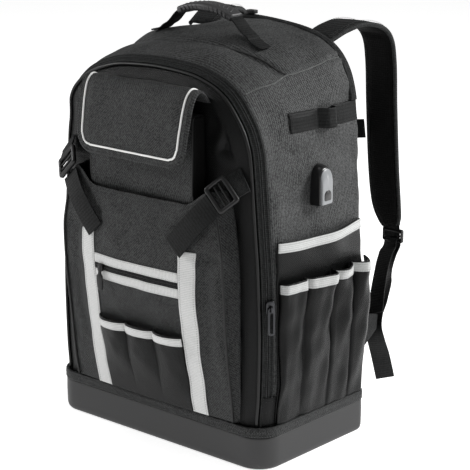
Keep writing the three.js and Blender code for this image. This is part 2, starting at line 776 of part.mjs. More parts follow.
// Point over the side at y and at share k of the height of the side pocket.
const sideZ = (y, k) => mix(BAND_TOP + 0.8, sideEdge(y), k);
const onSide = (y, z, lift) => v3(sideX(y, z) + lift, y, z);
const pocketLift = (y, k, lift) => onSide(y, sideZ(y, k), lift + sideOut(y, k));
addPair(
  "side_pocket",
  sheet(
    sideY,
    [0, 0.2, 0.5, 0.8, 1],
    (y, k) => pocketLift(y, k, GAP + THIN),
    (y, k) => pocketLift(y, k, GAP),
  ),
  CLOTH_BLACK,
);
const TRIM_H = 11;
const trimK = (y) => 1 - TRIM_H / (sideEdge(y) - BAND_TOP);
addPair(
  "side_pocket_trim",
  sheet(
    sideY,
    [0, 1],
    (y, e) => pocketLift(y, mix(trimK(y), 1, e), 3 * GAP + THIN + TAPE),
    (y, e) => pocketLift(y, mix(trimK(y), 1, e), 3 * GAP + THIN),
  ),
  TAPE_GREY,
);

// Four tool loops down each side, over the side pocket. Columns: y where a loop starts, how far it stands out.
const SIDE_LOOPS = [
  [SIDE_FROM, 11],
  [-31, 15],
  [20, 14],
  [62, 13],
  [SIDE_TO + 6, 0],
];
const SIDE_LOOP_TOP = 234;
// Across a loop: share of its width, share of how far it stands out.
const LOOP_SHAPE = [
  [0, 0],
  [0.1, 0.72],
  [0.3, 0.95],
  [0.6, 1],
  [0.86, 0.8],
];
const loopRows = SIDE_LOOPS.slice(0, -1).flatMap(([y, out], i) =>
  LOOP_SHAPE.map(([u, s]) => [mix(y, SIDE_LOOPS[i + 1][0], u), s * out]),
);
loopRows.push([SIDE_LOOPS[SIDE_LOOPS.length - 1][0], 0]);
function sideLoop(i, z, lift) {
  const [y, out] = loopRows[i];
  const k = clamp((z - BAND_TOP - 4) / (SIDE_LOOP_TOP - BAND_TOP - 4));
  const pocket = sideOut(Math.min(y, SIDE_TO), (z - BAND_TOP) / (sideEdge(Math.min(y, SIDE_TO)) - BAND_TOP));
  const round = Math.max(0, y - SIDE_TO) * 0.35;
  return v3(sideX(y, z) - round + lift + pocket + out * (0.12 + 0.88 * k), y, z);
}
const loopIndex = loopRows.map((_, i) => i);
const SIDE_BASE = 3 * GAP + THIN + 0.4;
addPair(
  "side_loops",
  sheet(
    loopIndex,
    [BAND_TOP + 1, 110, 170, SIDE_LOOP_TOP],
    (i, z) => sideLoop(i, z, SIDE_BASE + THIN),
    (i, z) => sideLoop(i, z, SIDE_BASE),
  ),
  CLOTH_BLACK,
);
addPair(
  "side_loop_trim",
  sheet(
    loopIndex,
    [SIDE_LOOP_TOP - TRIM_H - 1, SIDE_LOOP_TOP - 1],
    (i, z) => sideLoop(i, z, SIDE_BASE + THIN + 2 * GAP + TAPE),
    (i, z) => sideLoop(i, z, SIDE_BASE + THIN + 2 * GAP),
  ),
  TAPE_GREY,
);

// Webbing high on each side, with one raised loop. Columns: y, how far it stands off the side.
const SIDE_WEB = [
  [-31, 0.5],
  [15, 0.5],
  [20, 6],
  [26, 11],
  [34, 12],
  [41, 7],
  [44, 0.5],
  [66, 0.5],
  [SIDE_TO, 0.5],
];
const WEB_LOW = 408;
addPair(
  "side_webbing",
  sheet(
    SIDE_WEB.map((row) => row[0]),
    span(4, WEB_LOW, WEB_LOW + 23),
    (y, z) => onSide(y, z, at(SIDE_WEB, y)[1] + WEB),
    (y, z) => onSide(y, z, at(SIDE_WEB, y)[1]),
  ),
  WEB_BLACK,
);

// Socket housing on the right side. Columns: off the side, half width, low z, high z, corner radius.
const PORT = [
  [GAP, 12.5, 314, 366, 12],
  [9, 12, 314, 365, 11.5],
  [16, 11.5, 315, 358, 11],
  [18, 10.5, 316, 350, 10],
];
const PORT_Y = 10;
add(
  "usb_port",
  loft(
    PORT.map(([out, half, low, high, r]) =>
      roundRect(half, (high - low) / 2, r).map(([a, b]) =>
        v3(sideX(PORT_Y, 336) + out + (out === GAP ? 1.4 : 0), PORT_Y + a, (low + high) / 2 + b),
      ),
    ),
  ),
  HOUSING,
);

// Handle: a moulded grip held by webbing at both ends. Columns: x, y, z of its middle line.
const GRIP = [
  [-42, 2, 533],
  [-22, 2, 538.5],
  [0, 2, 540.5],
  [25, 2, 538],
  [46, 2, 531],
];
add(
  "handle_grip",
  loft(
    path(GRIP, 8).map(({ p, t }) => {
      const up = v3(-t.z, 0, t.x);
      return roundRect(GRIP_T / 2, GRIP_W / 2, 5, 2).map(([a, b]) => p.clone().addScaledVector(up, a).add(v3(0, b, 0)));
    }),
  ),
  PLASTIC_BLACK,
);
const end = GRIP[GRIP.length - 1];
const HANDLE_R = [
  [end[0] + 1.2, 2, end[2] - 0.6, HANDLE_W],
  [61, 1, 520, HANDLE_W],
  [71, 0, 507, HANDLE_W],
  [76, 0, topZ(76, 0) + 5.5, HANDLE_W],
];
const HANDLE_L = [
  [GRIP[0][0] - 1.2, 2, GRIP[0][2] - 0.6, HANDLE_W],
  [-56, 1, 524, HANDLE_W],
  [-64, 0, 510, HANDLE_W],
  [-67.5, 0, topZ(67.5, 0) + 2.4, HANDLE_W],
];
add("handle_webbing_right", ribbon(HANDLE_R, v3(0, 1, 0), 2.4, 6), WEB_BLACK);
add("handle_webbing_left", ribbon(HANDLE_L, v3(0, 1, 0), 2.4, 6), WEB_BLACK);

// Padded shoulder strap: out of the top of the back, over and down. Columns: x, off the back, z, width.
const SHOULDER = [
  [97, 2, 499, 46],
  [102, 26, 509, 48],
  [109, 52, 514, STRAP_W],
  [116, 78, 508, STRAP_W],
  [120, 94, 492, STRAP_W],
  [121, 101, 460, STRAP_W],
  [121, 105, 400, STRAP_W],
  [121, 112, 320, STRAP_W],
  [122, 118, 272, 46],
  [125, 122, 249, 38],
  [128, 124, 237.6, 26],
];
const backRows = (rows) => rows.map(([x, off, ...rest]) => [x, REAR_Y + off, ...rest]);
addPair("shoulder_strap", ribbon(backRows(SHOULDER), v3(1, 0, 0), STRAP_T, 26), CLOTH_BLACK);

// Ladder lock at the foot of the padded strap: a small frame.
const LOCK_Z = 224.75;
const lockRing = (a, b, off) =>
  roundRect(a, b, 2).map(([p, q]) => v3(129 + p, REAR_Y + 126 + off, LOCK_Z + q));
addPair(
  "strap_lock",
  loft([lockRing(16, 9, -3), lockRing(16, 9, 3), lockRing(13, 4, 3), lockRing(13, 4, -3)], true),
  PLASTIC_BLACK,
);

// Webbing from the lock down to the tab at the lower rear edge, and the free end that hangs on below. The last column
// is the heading of its width.
const LOWER_STRAP = [
  [126, 123, 211, WEB_W, -20],
  [131, 108, 203, WEB_W, -20],
  [138, 90, 188, WEB_W, -20],
  [146, 72, 166, WEB_W, -15],
  [156.5, 53, 139.3, WEB_W, -10],
];
addPair("lower_strap", ribbon(backRows(LOWER_STRAP), null, WEB, 8), WEB_BLACK);
const TAIL = [
  [130, 128.8, 211, WEB_W, -20],
  [133, 118, 200, WEB_W, -28],
  [137, 108, 186, WEB_W, -36],
  [140, 101, 168, WEB_W, -38],
  [146, 82, 149, WEB_W, -34],
  [150, 64, 134, WEB_W, -20],
  [153, 56, 120, WEB_W, 0],
  [152, 62, 100, WEB_W, 20],
  [148, 78, 72, WEB_W, 35],
  [145, 94, 36, WEB_W, 41],
];
addPair("strap_tail", ribbon(backRows(TAIL), null, WEB, 18), WEB_BLACK);

// Triangular tab at the lower rear edge that holds the webbing. Columns: x, off the back, z.
const TAB = [
  [HALF_W - 13, GAP + 0.1, 152],
  [HALF_W - 13, GAP + 0.1, 92],
  [160, 48, 120],
  [158, 52.5, 139],
];
const tabRing = (shift) => TAB.map(([x, off, z]) => v3(x + shift, REAR_Y + off, z));
addPair("strap_keeper", loft([tabRing(0), tabRing(3)]), CLOTH_BLACK);

// Webbing across between the shoulder straps.
const STERNUM = [
  [-95.1, 104, 368, WEB_W],
  [-45, 90, 362, WEB_W],
  [0, 86, 360, WEB_W],
  [45, 90, 362, WEB_W],
  [95.1, 104, 368, WEB_W],
];
add("sternum_strap", ribbon(backRows(STERNUM), v3(0, 0, 1), WEB, 8), WEB_BLACK);

// Padded back panel. Columns: off the back, inset of its outline.
const PAD = [
  [GAP, 0],
  [6, 0],
  [10, 5],
  [12, 14],
];
const PAD_LOW = 70;
const PAD_HIGH = 458;
add(
  "back_padding",
  loft(
    PAD.map(([off, inset]) =>
      roundRect(138 - inset, (PAD_HIGH - PAD_LOW) / 2 - inset, 34 - inset).map(([a, b]) =>
        v3(a, REAR_Y + off, (PAD_LOW + PAD_HIGH) / 2 + b),
      ),
    ),
  ),
  CLOTH_BLACK,
);

export default group;
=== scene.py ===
# %% [markdown]
# Tool backpack: a soft bag on a moulded base. The CAD frame gives every size and place. This lesson rebuilds each
# cloth, web, zip and moulded piece of it with a finer surface, lays seams and stitches on it, and gives each piece a
# material that starts from the real one. Lengths are worked out in millimetres and turned to metres once, when a
# mesh is made.
# %% Frame
import json
import math

import bmesh
import bpy
import numpy as np
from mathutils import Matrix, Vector
from mathutils.bvhtree import BVHTree


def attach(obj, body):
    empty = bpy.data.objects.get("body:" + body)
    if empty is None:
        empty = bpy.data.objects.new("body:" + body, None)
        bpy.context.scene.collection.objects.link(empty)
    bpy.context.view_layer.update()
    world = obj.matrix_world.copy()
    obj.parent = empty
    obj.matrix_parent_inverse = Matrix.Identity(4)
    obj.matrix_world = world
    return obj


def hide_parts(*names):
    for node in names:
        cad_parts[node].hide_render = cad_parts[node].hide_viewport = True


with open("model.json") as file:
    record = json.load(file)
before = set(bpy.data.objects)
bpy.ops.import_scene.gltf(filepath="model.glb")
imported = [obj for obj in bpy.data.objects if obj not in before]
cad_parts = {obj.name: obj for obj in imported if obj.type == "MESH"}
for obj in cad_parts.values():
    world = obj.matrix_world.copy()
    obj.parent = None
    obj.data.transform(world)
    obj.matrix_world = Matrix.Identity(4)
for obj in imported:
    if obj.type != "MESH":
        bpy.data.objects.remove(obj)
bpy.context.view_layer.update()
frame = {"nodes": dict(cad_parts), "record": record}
MM = 0.001
BAG = "backpack"
SLOT_OF = {s["node"]: s["material_slot"] for s in frame["record"]["subparts"]}
print("nodes in the frame:", len(frame["nodes"]))

# %% [markdown]
# The camera comes first. It looks down a little from the front right corner with a long lens, so that the lines of the
# bag stay nearly parallel, as in a catalogue picture.
# %% Camera
CAMERA_AT = (1.4342, -1.5831, 0.8369)
CAMERA_AZ, CAMERA_EL, CAMERA_LENS = 41.25, 15.43, 132.55


def aim(azimuth, elevation):
    a, e = math.radians(azimuth), math.radians(elevation)
    return Vector((math.sin(a) * math.cos(e), -math.cos(a) * math.cos(e), math.sin(e)))


camera = bpy.data.objects.new("camera", bpy.data.cameras.new("camera"))
camera.location = CAMERA_AT
camera.rotation_mode = "QUATERNION"
camera.rotation_quaternion = (-aim(CAMERA_AZ, CAMERA_EL)).to_track_quat("-Z", "Y")
camera.data.lens = CAMERA_LENS
camera.data.clip_end = 50
bpy.context.scene.collection.objects.link(camera)
bpy.context.scene.camera = camera

# %% [markdown]
# Colours are given as the hex values that a screen shows. Blender works with linear light, so one function turns them.
# A second small function adds any node to a tree, with its settings and its links.
# %% Colour and node helpers


def linear(code):
    parts = [int(code[i : i + 2], 16) / 255 for i in (1, 3, 5)]
    return (*[c / 12.92 if c <= 0.04045 else ((c + 0.055) / 1.055) ** 2.4 for c in parts], 1.0)


def put(tree, kind, links=None, **settings):
    made = tree.nodes.new(kind)
    for key, value in settings.items():
        setattr(made, key, value)
    for key, value in (links or {}).items():
        if isinstance(value, bpy.types.NodeSocket):
            tree.links.new(value, made.inputs[key])
        else:
            made.inputs[key].default_value = value
    return made


def calc(tree, operation, *values):
    return put(tree, "ShaderNodeMath", dict(enumerate(values)), operation=operation).outputs[0]


def new_finish(name):
    made = bpy.data.materials.new(name)
    made.use_nodes = True
    return made, made.node_tree, made.node_tree.nodes["Principled BSDF"]


# %% [markdown]
# A pale floor and a pale world make the plain studio. The large lamp on the right lights the side of the bag more than
# its front, a weaker one fills the front, and one from behind draws the top edge. The world lights the cloth weakly, so
# that its folds stay dark, and is white where it is seen.
# %% Studio
world = bpy.data.worlds.new("studio")
world.use_nodes = True
sky = world.node_tree
sky.nodes["Background"].inputs["Color"].default_value = (1, 1, 1, 1)
sky.nodes["Background"].inputs["Strength"].default_value = 0.3
backdrop = put(sky, "ShaderNodeBackground", {"Color": (1, 1, 1, 1), "Strength": 1.0}).outputs[0]
seen = put(sky, "ShaderNodeLightPath").outputs["Is Camera Ray"]
both = put(sky, "ShaderNodeMixShader", {0: seen, 1: sky.nodes["Background"].outputs[0], 2: backdrop}).outputs[0]
sky.links.new(both, sky.nodes["World Output"].inputs["Surface"])
bpy.context.scene.world = world
bpy.context.scene.view_settings.view_transform = "Standard"


def lamp(name, at, target, size, power):
    data = bpy.data.lights.new(name, "AREA")
    data.size, data.energy = size, power
    made = bpy.data.objects.new(name, data)
    made.location = at
    made.rotation_mode = "QUATERNION"
    made.rotation_quaternion = (Vector(target) - Vector(at)).to_track_quat("-Z", "Y")
    bpy.context.scene.collection.objects.link(made)


lamp("key_right", (1.7, 1.5, 1.6), (0.1, 0, 0.28), 0.8, 75)
lamp("fill_front", (-2.3, -1.3, 1.5), (0, 0, 0.25), 0.5, 36)
lamp("top_rear", (-0.3, -0.3, 2.5), (0, 0, 0.4), 0.8, 5)

# %% [markdown]
# Woven cloth. Two sets of threads cross: in one cell the warp lies on top, in the next the weft. The height of the
# thread on top is a half sine across it, a little lower where it dives under its neighbour. The group gives that height
# and can be set to any thread pitch, so that pack cloth, webbing and tape share it.
# %% Weave group


def weave_group():
    tree = bpy.data.node_groups.new("plain_weave", "ShaderNodeTree")
    tree.interface.new_socket("Across", in_out="INPUT", socket_type="NodeSocketFloat")
    tree.interface.new_socket("Along", in_out="INPUT", socket_type="NodeSocketFloat")
    tree.interface.new_socket("Height", in_out="OUTPUT", socket_type="NodeSocketFloat")
    start = tree.nodes.new("NodeGroupInput")
    fu, fv = [calc(tree, "SINE", calc(tree, "MULTIPLY", start.outputs[i], math.pi)) for i in (0, 1)]
    au, av = calc(tree, "ABSOLUTE", fu), calc(tree, "ABSOLUTE", fv)
    cells = [calc(tree, "FLOOR", start.outputs[i]) for i in (0, 1)]
    parity = calc(tree, "PINGPONG", calc(tree, "ADD", *cells), 1.0)
    warp = calc(tree, "MULTIPLY", au, calc(tree, "MULTIPLY_ADD", av, 0.5, 0.5))
    weft = calc(tree, "MULTIPLY", av, calc(tree, "MULTIPLY_ADD", au, 0.5, 0.5))
    swap = calc(tree, "SUBTRACT", weft, warp)
    put(tree, "NodeGroupOutput", {0: calc(tree, "MULTIPLY_ADD", swap, parity, warp)})
    return tree


WEAVE = weave_group()


def woven(name, dark, light, pitch, depth, rough, stretch=1.0, specular=0.5, patchy=0.25, turn=0.0, grit=2.2):
    """Cloth finish. dark and light: hex of the gaps and of the threads; the mix follows thread height, so the dark gaps
    are
    painted shade. pitch: thread spacing in mm. depth: height of a thread in mm. stretch: how much longer a thread shows
    than it is wide. grit: how much single threads differ."""
    made, tree, skin = new_finish(name)
    uv = put(tree, "ShaderNodeUVMap", uv_map="cut").outputs[0]
    turned = put(tree, "ShaderNodeMapping", {"Vector": uv, "Rotation": (0, 0, math.radians(turn)),
                 "Scale": (1000 / pitch, 1000 / (pitch * stretch), 1)}).outputs[0]
    part = put(tree, "ShaderNodeSeparateXYZ", {0: turned}).outputs
    height = put(tree, "ShaderNodeGroup", node_tree=WEAVE)
    tree.links.new(part[0], height.inputs[0])
    tree.links.new(part[1], height.inputs[1])
    place = put(tree, "ShaderNodeTexCoord").outputs["Object"]
    cloud = put(tree, "ShaderNodeTexNoise", {"Vector": place, "Scale": 28, "Detail": 4, "Roughness": 0.6}).outputs[0]
    fleck = put(tree, "ShaderNodeTexNoise", {"Vector": place, "Scale": 430, "Detail": 2}).outputs[0]
    # The colour follows the thread height: painted shade in the gaps between threads, plus random patches and flecks of
    # tone.
    weave_shade_and_tone = calc(tree, "MULTIPLY_ADD", calc(tree, "SUBTRACT", cloud, 0.5), patchy, height.outputs[0])
    weave_shade_and_tone = calc(tree, "MULTIPLY_ADD", calc(tree, "SUBTRACT", fleck, 0.5), grit, weave_shade_and_tone)
    tint = put(tree, "ShaderNodeMix", {"Factor": weave_shade_and_tone}, data_type="RGBA", clamp_factor=True)
    for i, code in ((6, dark), (7, light)):
        tint.inputs[i].default_value = linear(code)
    tree.links.new(tint.outputs[2], skin.inputs["Base Color"])
    tree.links.new(calc(tree, "MULTIPLY_ADD", height.outputs[0], -0.12, rough + 0.06), skin.inputs["Roughness"])
    uneven = calc(tree, "MULTIPLY_ADD", fleck, 1.6, height.outputs[0])
    bump = put(tree, "ShaderNodeBump", {"Height": uneven, "Distance": depth * MM, "Strength": 0.8})
    tree.links.new(bump.outputs[0], skin.inputs["Normal"])
    skin.inputs["Specular IOR Level"].default_value = specular
    return made


# %% [markdown]
# The fabrics. The bag is nylon pack cloth of 1680 denier: coarse threads, nearly black, with a dry face. Real thread
# spacing is about 0.9 mm; it is drawn at about 2 mm so that it shows in a picture of this size. The front gusset, the
# loops and the side pockets are the same cloth with a smooth coating, which darkens it and gives its folds a soft
# shine. Black cloth reflects little, so the specular level stays low and the folds stay dark between the lights.
# %% Cloth finishes
PACK_CLOTH = woven("nylon_pack_cloth_woven", "#020202", "#404141", 2.3, 0.5, 0.5, specular=0.16, patchy=0.35, turn=45)
BODY_CLOTH = woven("nylon_body_cloth_woven", "#060606", "#4c4d4d", 1.9, 0.4, 0.55, stretch=1.5, specular=0.18,
                   patchy=0.3)
COATED = woven("nylon_pocket_cloth_coated", "#010101", "#111212", 2.0, 0.3, 0.32, specular=0.15, patchy=0.3, turn=45)
GUSSET = woven("nylon_gusset_cloth_coated", "#010101", "#101111", 2.3, 0.4, 0.34, specular=0.17, patchy=0.5, turn=45)
# Near-black cloth for the side walls of the upper pocket: painted shade.
SIDE_WALL_SHADE = woven("pocket_side_wall_painted_shade", "#060606", "#0e0e0e", 1.6, 0.15, 0.8, specular=0.08)
MESH_PAD = woven("spacer_mesh_knitted", "#030303", "#0e0e0e", 3.0, 0.5, 0.85, specular=0.1)
STRAP_CLOTH = woven("nylon_strap_cloth_woven", "#0a0a0b", "#2a2b2b", 1.8, 0.25, 0.65, specular=0.1)
WEBBING = woven("polyester_webbing_woven", "#080808", "#1d1e1e", 1.8, 0.25, 0.55, stretch=2.2, specular=0.12)
BINDING = woven("polyester_binding_tape_woven", "#0e0f0f", "#343535", 1.5, 0.3, 0.6, stretch=1.6, specular=0.12)
LIGHT_TAPE = woven("polyester_light_tape_woven", "#b0b1b0", "#dededd", 1.5, 0.2, 0.55, stretch=1.5, specular=0.2,
                   patchy=0.15, grit=0.6)
# The side trims are the same light tape drawn darker: painted shade against the stronger lamp on the side.
SIDE_TAPE_PAINTED_SHADE = woven("polyester_light_tape_painted_shade_woven", "#9a9b9a", "#c4c5c4", 1.5, 0.2, 0.55, stretch=1.5, specular=0.2,
                  patchy=0.15, grit=0.6)


def moulded(name, colour, rough, grain, depth, coat=0.0, specular=0.5, patchy=0.03, shade=None):
    """Moulded rubber, plastic or plated metal: one colour with cloudy wear and a fine grain, grain in mm."""
    made, tree, skin = new_finish(name)
    place = put(tree, "ShaderNodeTexCoord").outputs["Object"]
    cloud = put(tree, "ShaderNodeTexNoise", {"Vector": place, "Scale": 14, "Detail": 5, "Roughness": 0.65}).outputs[0]
    fine = put(tree, "ShaderNodeTexNoise", {"Vector": place, "Scale": 1000 / grain, "Detail": 2}).outputs[0]
    tint = put(tree, "ShaderNodeMix", {"Factor": cloud}, data_type="RGBA")
    tint.inputs[6].default_value = linear(shade or colour)
    tint.inputs[7].default_value = linear(colour)
    tree.links.new(tint.outputs[2], skin.inputs["Base Color"])
    tree.links.new(calc(tree, "MULTIPLY_ADD", cloud, patchy * 4, rough - patchy * 2), skin.inputs["Roughness"])
    bump = put(tree, "ShaderNodeBump", {"Height": fine, "Distance": depth * MM, "Strength": 0.6})
    tree.links.new(bump.outputs[0], skin.inputs["Normal"])
    skin.inputs["Coat Weight"].default_value = coat
    skin.inputs["Specular IOR Level"].default_value = specular
    return made


# %% [markdown]
# Moulded things. The base is thermoplastic rubber with a spark-eroded grain, the grip is the same rubber, darker. The
# buckles are acetal, smooth from the tool. Slider and pull are zinc, cast and plated dark. The socket housing is
# painted ABS.
# %% Moulded finishes
BASE_RUBBER = moulded("rubber_base_moulded", "#333333", 0.5, 1.1, 0.12, specular=0.35, shade="#2b2b2c")
GRIP_RUBBER = moulded("rubber_grip_moulded", "#2b2b2c", 0.5, 0.9, 0.08, shade="#222223")
BUCKLE = moulded("acetal_buckle_moulded", "#0e0e0f", 0.38, 0.8, 0.03, specular=0.4, shade="#090909")
ZIP_METAL = moulded("zinc_zip_slider_plated", "#4a4b4d", 0.3, 0.6, 0.03, shade="#2c2c2e")
ZIP_METAL.node_tree.nodes["Principled BSDF"].inputs["Metallic"].default_value = 0.9
ZIP_BLACK = moulded("zinc_zip_slider_painted", "#161617", 0.4, 0.6, 0.03, specular=0.3, shade="#0e0e0f")
ZIP_COIL = moulded("nylon_zip_coil_moulded", "#1b1b1c", 0.35, 0.7, 0.03, shade="#111112")
HOUSING = moulded("abs_housing_painted", "#8d8f91", 0.3, 0.6, 0.02, shade="#6f7173")
HOUSING_DARK = moulded("abs_housing_black_moulded", "#0d0d0e", 0.3, 0.6, 0.02)
PIPING_WHITE = moulded("vinyl_piping_extruded", "#f2f2f0", 0.4, 1.2, 0.04, shade="#e6e6e4")
PIPING_BLACK = moulded("vinyl_piping_black_extruded", "#121313", 0.42, 1.2, 0.06, specular=0.3, shade="#0c0c0c")
THREAD = moulded("polyester_thread_black", "#0d0d0e", 0.6, 0.5, 0.02)
THREAD_GREY = moulded("polyester_thread_grey", "#8d8e8d", 0.6, 0.5, 0.02)
print("finishes:", len(bpy.data.materials))

# %% [markdown]
# The floor is one large pale plane. It glows a little, like paper that is lit from all sides, so that it stays white
# far behind the bag too.
# %% Floor
floor_mesh = bpy.data.meshes.new("floor")
floor_mesh.from_pydata([(-6, -6, 0), (6, -6, 0), (6, 6, 0), (-6, 6, 0)], [], [(0, 1, 2, 3)])
floor = bpy.data.objects.new("floor", floor_mesh)
paint, _, floor_skin = new_finish("paper_floor_matt")
floor_skin.inputs["Base Color"].default_value = linear("#f7f7f7")
floor_skin.inputs["Roughness"].default_value = 0.9
floor_skin.inputs["Emission Color"].default_value = (1, 1, 1, 1)
floor_skin.inputs["Emission Strength"].default_value = 0.62
floor_mesh.materials.append(paint)
bpy.context.scene.collection.objects.link(floor)

# %% [markdown]
# Shapes follow tables of a few rows, as a pattern cutter would note them. Between the rows a smooth curve runs that
# never overshoots them.
# %% Table helpers


def follow(table, k):
    """Row of a table at the values k of its first column, on a smooth curve without overshoot."""
    t = np.array(table, float)
    x, y = t[:, 0], t[:, 1:]
    h = np.diff(x)
    d = np.diff(y, axis=0) / h[:, None]
    m = np.zeros_like(y)
    m[0], m[-1] = d[0], d[-1]
    both = d[:-1] * d[1:]
    total = d[:-1] + d[1:]
    m[1:-1] = np.where(both > 0, 2 * both / np.where(total == 0, 1, total), 0)
    k = np.asarray(k, float)
    i = np.clip(np.searchsorted(x, k) - 1, 0, len(h) - 1)
    s = np.clip((k - x[i]) / h[i], 0, 1)[..., None]
    a, b = y[i], y[i + 1]
    ha = h[i][..., None]
    return (a * (1 + 2 * s) * (1 - s) ** 2 + b * s * s * (3 - 2 * s)
            + ha * m[i] * s * (1 - s) ** 2 + ha * m[i + 1] * s * s * (s - 1))


def smooth_line(points, n):
    """n points at even spacing on a smooth curve through the given points."""
    p = np.array(points, float)
    ends = np.vstack([2 * p[0] - p[1], p, 2 * p[-1] - p[-2]])
    out = []
    for i in range(len(p) - 1):
        a, b, c, d = ends[i : i + 4]
        s = np.linspace(0, 1, 24, endpoint=False)[:, None]
        out.append(0.5 * (2 * b + (c - a) * s + (2 * a - 5 * b + 4 * c - d) * s**2 + (3 * b - a - 3 * c + d) * s**3))
    line = np.vstack([*out, p[-1:]])
    step = np.r_[0, np.cumsum(np.linalg.norm(np.diff(line[:, :3], axis=0), axis=1))]
    at = np.linspace(0, step[-1], n)
    return np.stack([np.interp(at, step, line[:, c]) for c in range(line.shape[1])], 1)


def evenly(points, n):
    """n points at even spacing on the straight runs between the given points."""
    p = np.asarray(points, float)
    step = np.r_[0, np.cumsum(np.linalg.norm(np.diff(p, axis=0), axis=1))]
    at = np.linspace(0, step[-1], n)
    return np.stack([np.interp(at, step, p[:, c]) for c in range(p.shape[1])], 1)


def unit(v):
    return v / np.maximum(np.linalg.norm(v, axis=-1, keepdims=True), 1e-9)


def grid_normals(p):
    du = np.gradient(p, axis=1)
    dv = np.gradient(p, axis=0)
    return unit(np.cross(du, dv))


def ripple(p, seed, size, count=14):
    """Soft unevenness of cloth: a sum of waves of about the given size in mm, between -1 and 1."""
    dice = np.random.default_rng(seed)
    total = 0
    for _ in range(count):
        way = unit(dice.normal(size=3)) * 2 * math.pi / (size * dice.uniform(0.7, 1.7))
        total = total + np.sin(p @ way + dice.uniform(0, 2 * math.pi))
    return total / math.sqrt(count) * 0.8


def hump(x):
    """A smooth bump: 1 at 0 and 0 from 1 on."""
    return np.clip(1 - np.asarray(x, float) ** 2, 0, 1) ** 2


# %% [markdown]
# A piece is made from a grid of points. A sheet of cloth gets its thickness here: the inner side follows the outer one,
# and the edges are rounded as a fold is. Each piece carries a flat pattern of itself, the map named cut, so that the
# weave follows the cloth in its real size.
# %% Mesh helpers


def make(name, points, faces, finish, cut=None, stands_for=(), slot=None, body=BAG):
    mesh = bpy.data.meshes.new(name)
    mesh.from_pydata([tuple(p) for p in np.asarray(points, float) * MM], [], [tuple(f) for f in faces])
    mesh.polygons.foreach_set("use_smooth", [True] * len(mesh.polygons))
    flat = mesh.uv_layers.new(name="cut")
    if cut is not None:
        flat.data.foreach_set("uv", (cut * MM).ravel())
    mesh.materials.append(finish)
    mesh.validate()
    mesh.update()
    made = bpy.data.objects.new(name, mesh)
    bpy.context.scene.collection.objects.link(made)
    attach(made, body)
    if stands_for:
        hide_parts(*stands_for)
        slot = slot or SLOT_OF[stands_for[0]]
    return made


def lengths(p, axis):
    step = np.linalg.norm(np.diff(p, axis=axis), axis=-1)
    total = np.cumsum(step, axis=axis)
    return np.concatenate([np.zeros_like(np.take(total, [0], axis)), total], axis)


def ringed(name, rings, finish, cut=None, fan=True, wrap=False, **rest):
    """A closed body through rings, closed at both ends by a fan or, for a strip, by quads between its two sides. With
    wrap the last ring joins the first."""
    rings = np.asarray(rings, float)
    m, n = rings.shape[:2]
    if wrap:
        rings = np.concatenate([rings, rings[:1]])
    if cut is None:
        around = lengths(np.concatenate([rings, rings[:, :1]], 1), 1)
        cut = np.stack([around, np.broadcast_to(lengths(rings.mean(1)[:, None], 0), around.shape)], -1)
    points, faces, maps = list(rings[:m].reshape(-1, 3)), [], []
    for r in range(m if wrap else m - 1):
        for i in range(n):
            j, q = (i + 1) % n, (r + 1) % m
            faces.append((r * n + i, r * n + j, q * n + j, q * n + i))
            maps.append((cut[r, i], cut[r, i + 1], cut[r + 1, i + 1], cut[r + 1, i]))
    for r, turn in () if wrap else ((0, True), (m - 1, False)):
        if fan:
            points.append(rings[r].mean(0))
            centre = cut[r, :n].mean(0)
            for i in range(n):
                j = (i + 1) % n
                face = (len(points) - 1, r * n + i, r * n + j)
                faces.append(face[::-1] if turn else face)
                spot = (centre, cut[r, i], cut[r, i + 1])
                maps.append(spot[::-1] if turn else spot)
        else:
            half = (n - 2) // 2
            strips = [(i, i + 1, 2 * half - i - 1, 2 * half - i) for i in range(half - 1)]
            strips += [(half - 1, half, half + 1), (0, 2 * half, 2 * half + 1)]
            for s in strips:
                face = tuple(r * n + k for k in s)
                faces.append(face[::-1] if turn else face)
                spot = tuple(cut[r, k] for k in s)
                maps.append(spot[::-1] if turn else spot)
    points = np.array(points)
    a, b, c = (points[[f[k] for f in faces]] for k in (0, 1, 2))
    quads = [f for f in faces if len(f) == 4]
    volume = np.einsum("ij,ij->", a, np.cross(b, c))
    d = points[[f[3] for f in quads]]
    a4, c4 = points[[f[0] for f in quads]], points[[f[2] for f in quads]]
    volume += np.einsum("ij,ij->", a4, np.cross(c4, d))
    if volume < 0:
        faces = [f[::-1] for f in faces]
        maps = [m_[::-1] for m_ in maps]
    flat = np.concatenate([np.array(m_) for m_ in maps])
    return make(name, points, faces, finish, flat, **rest)


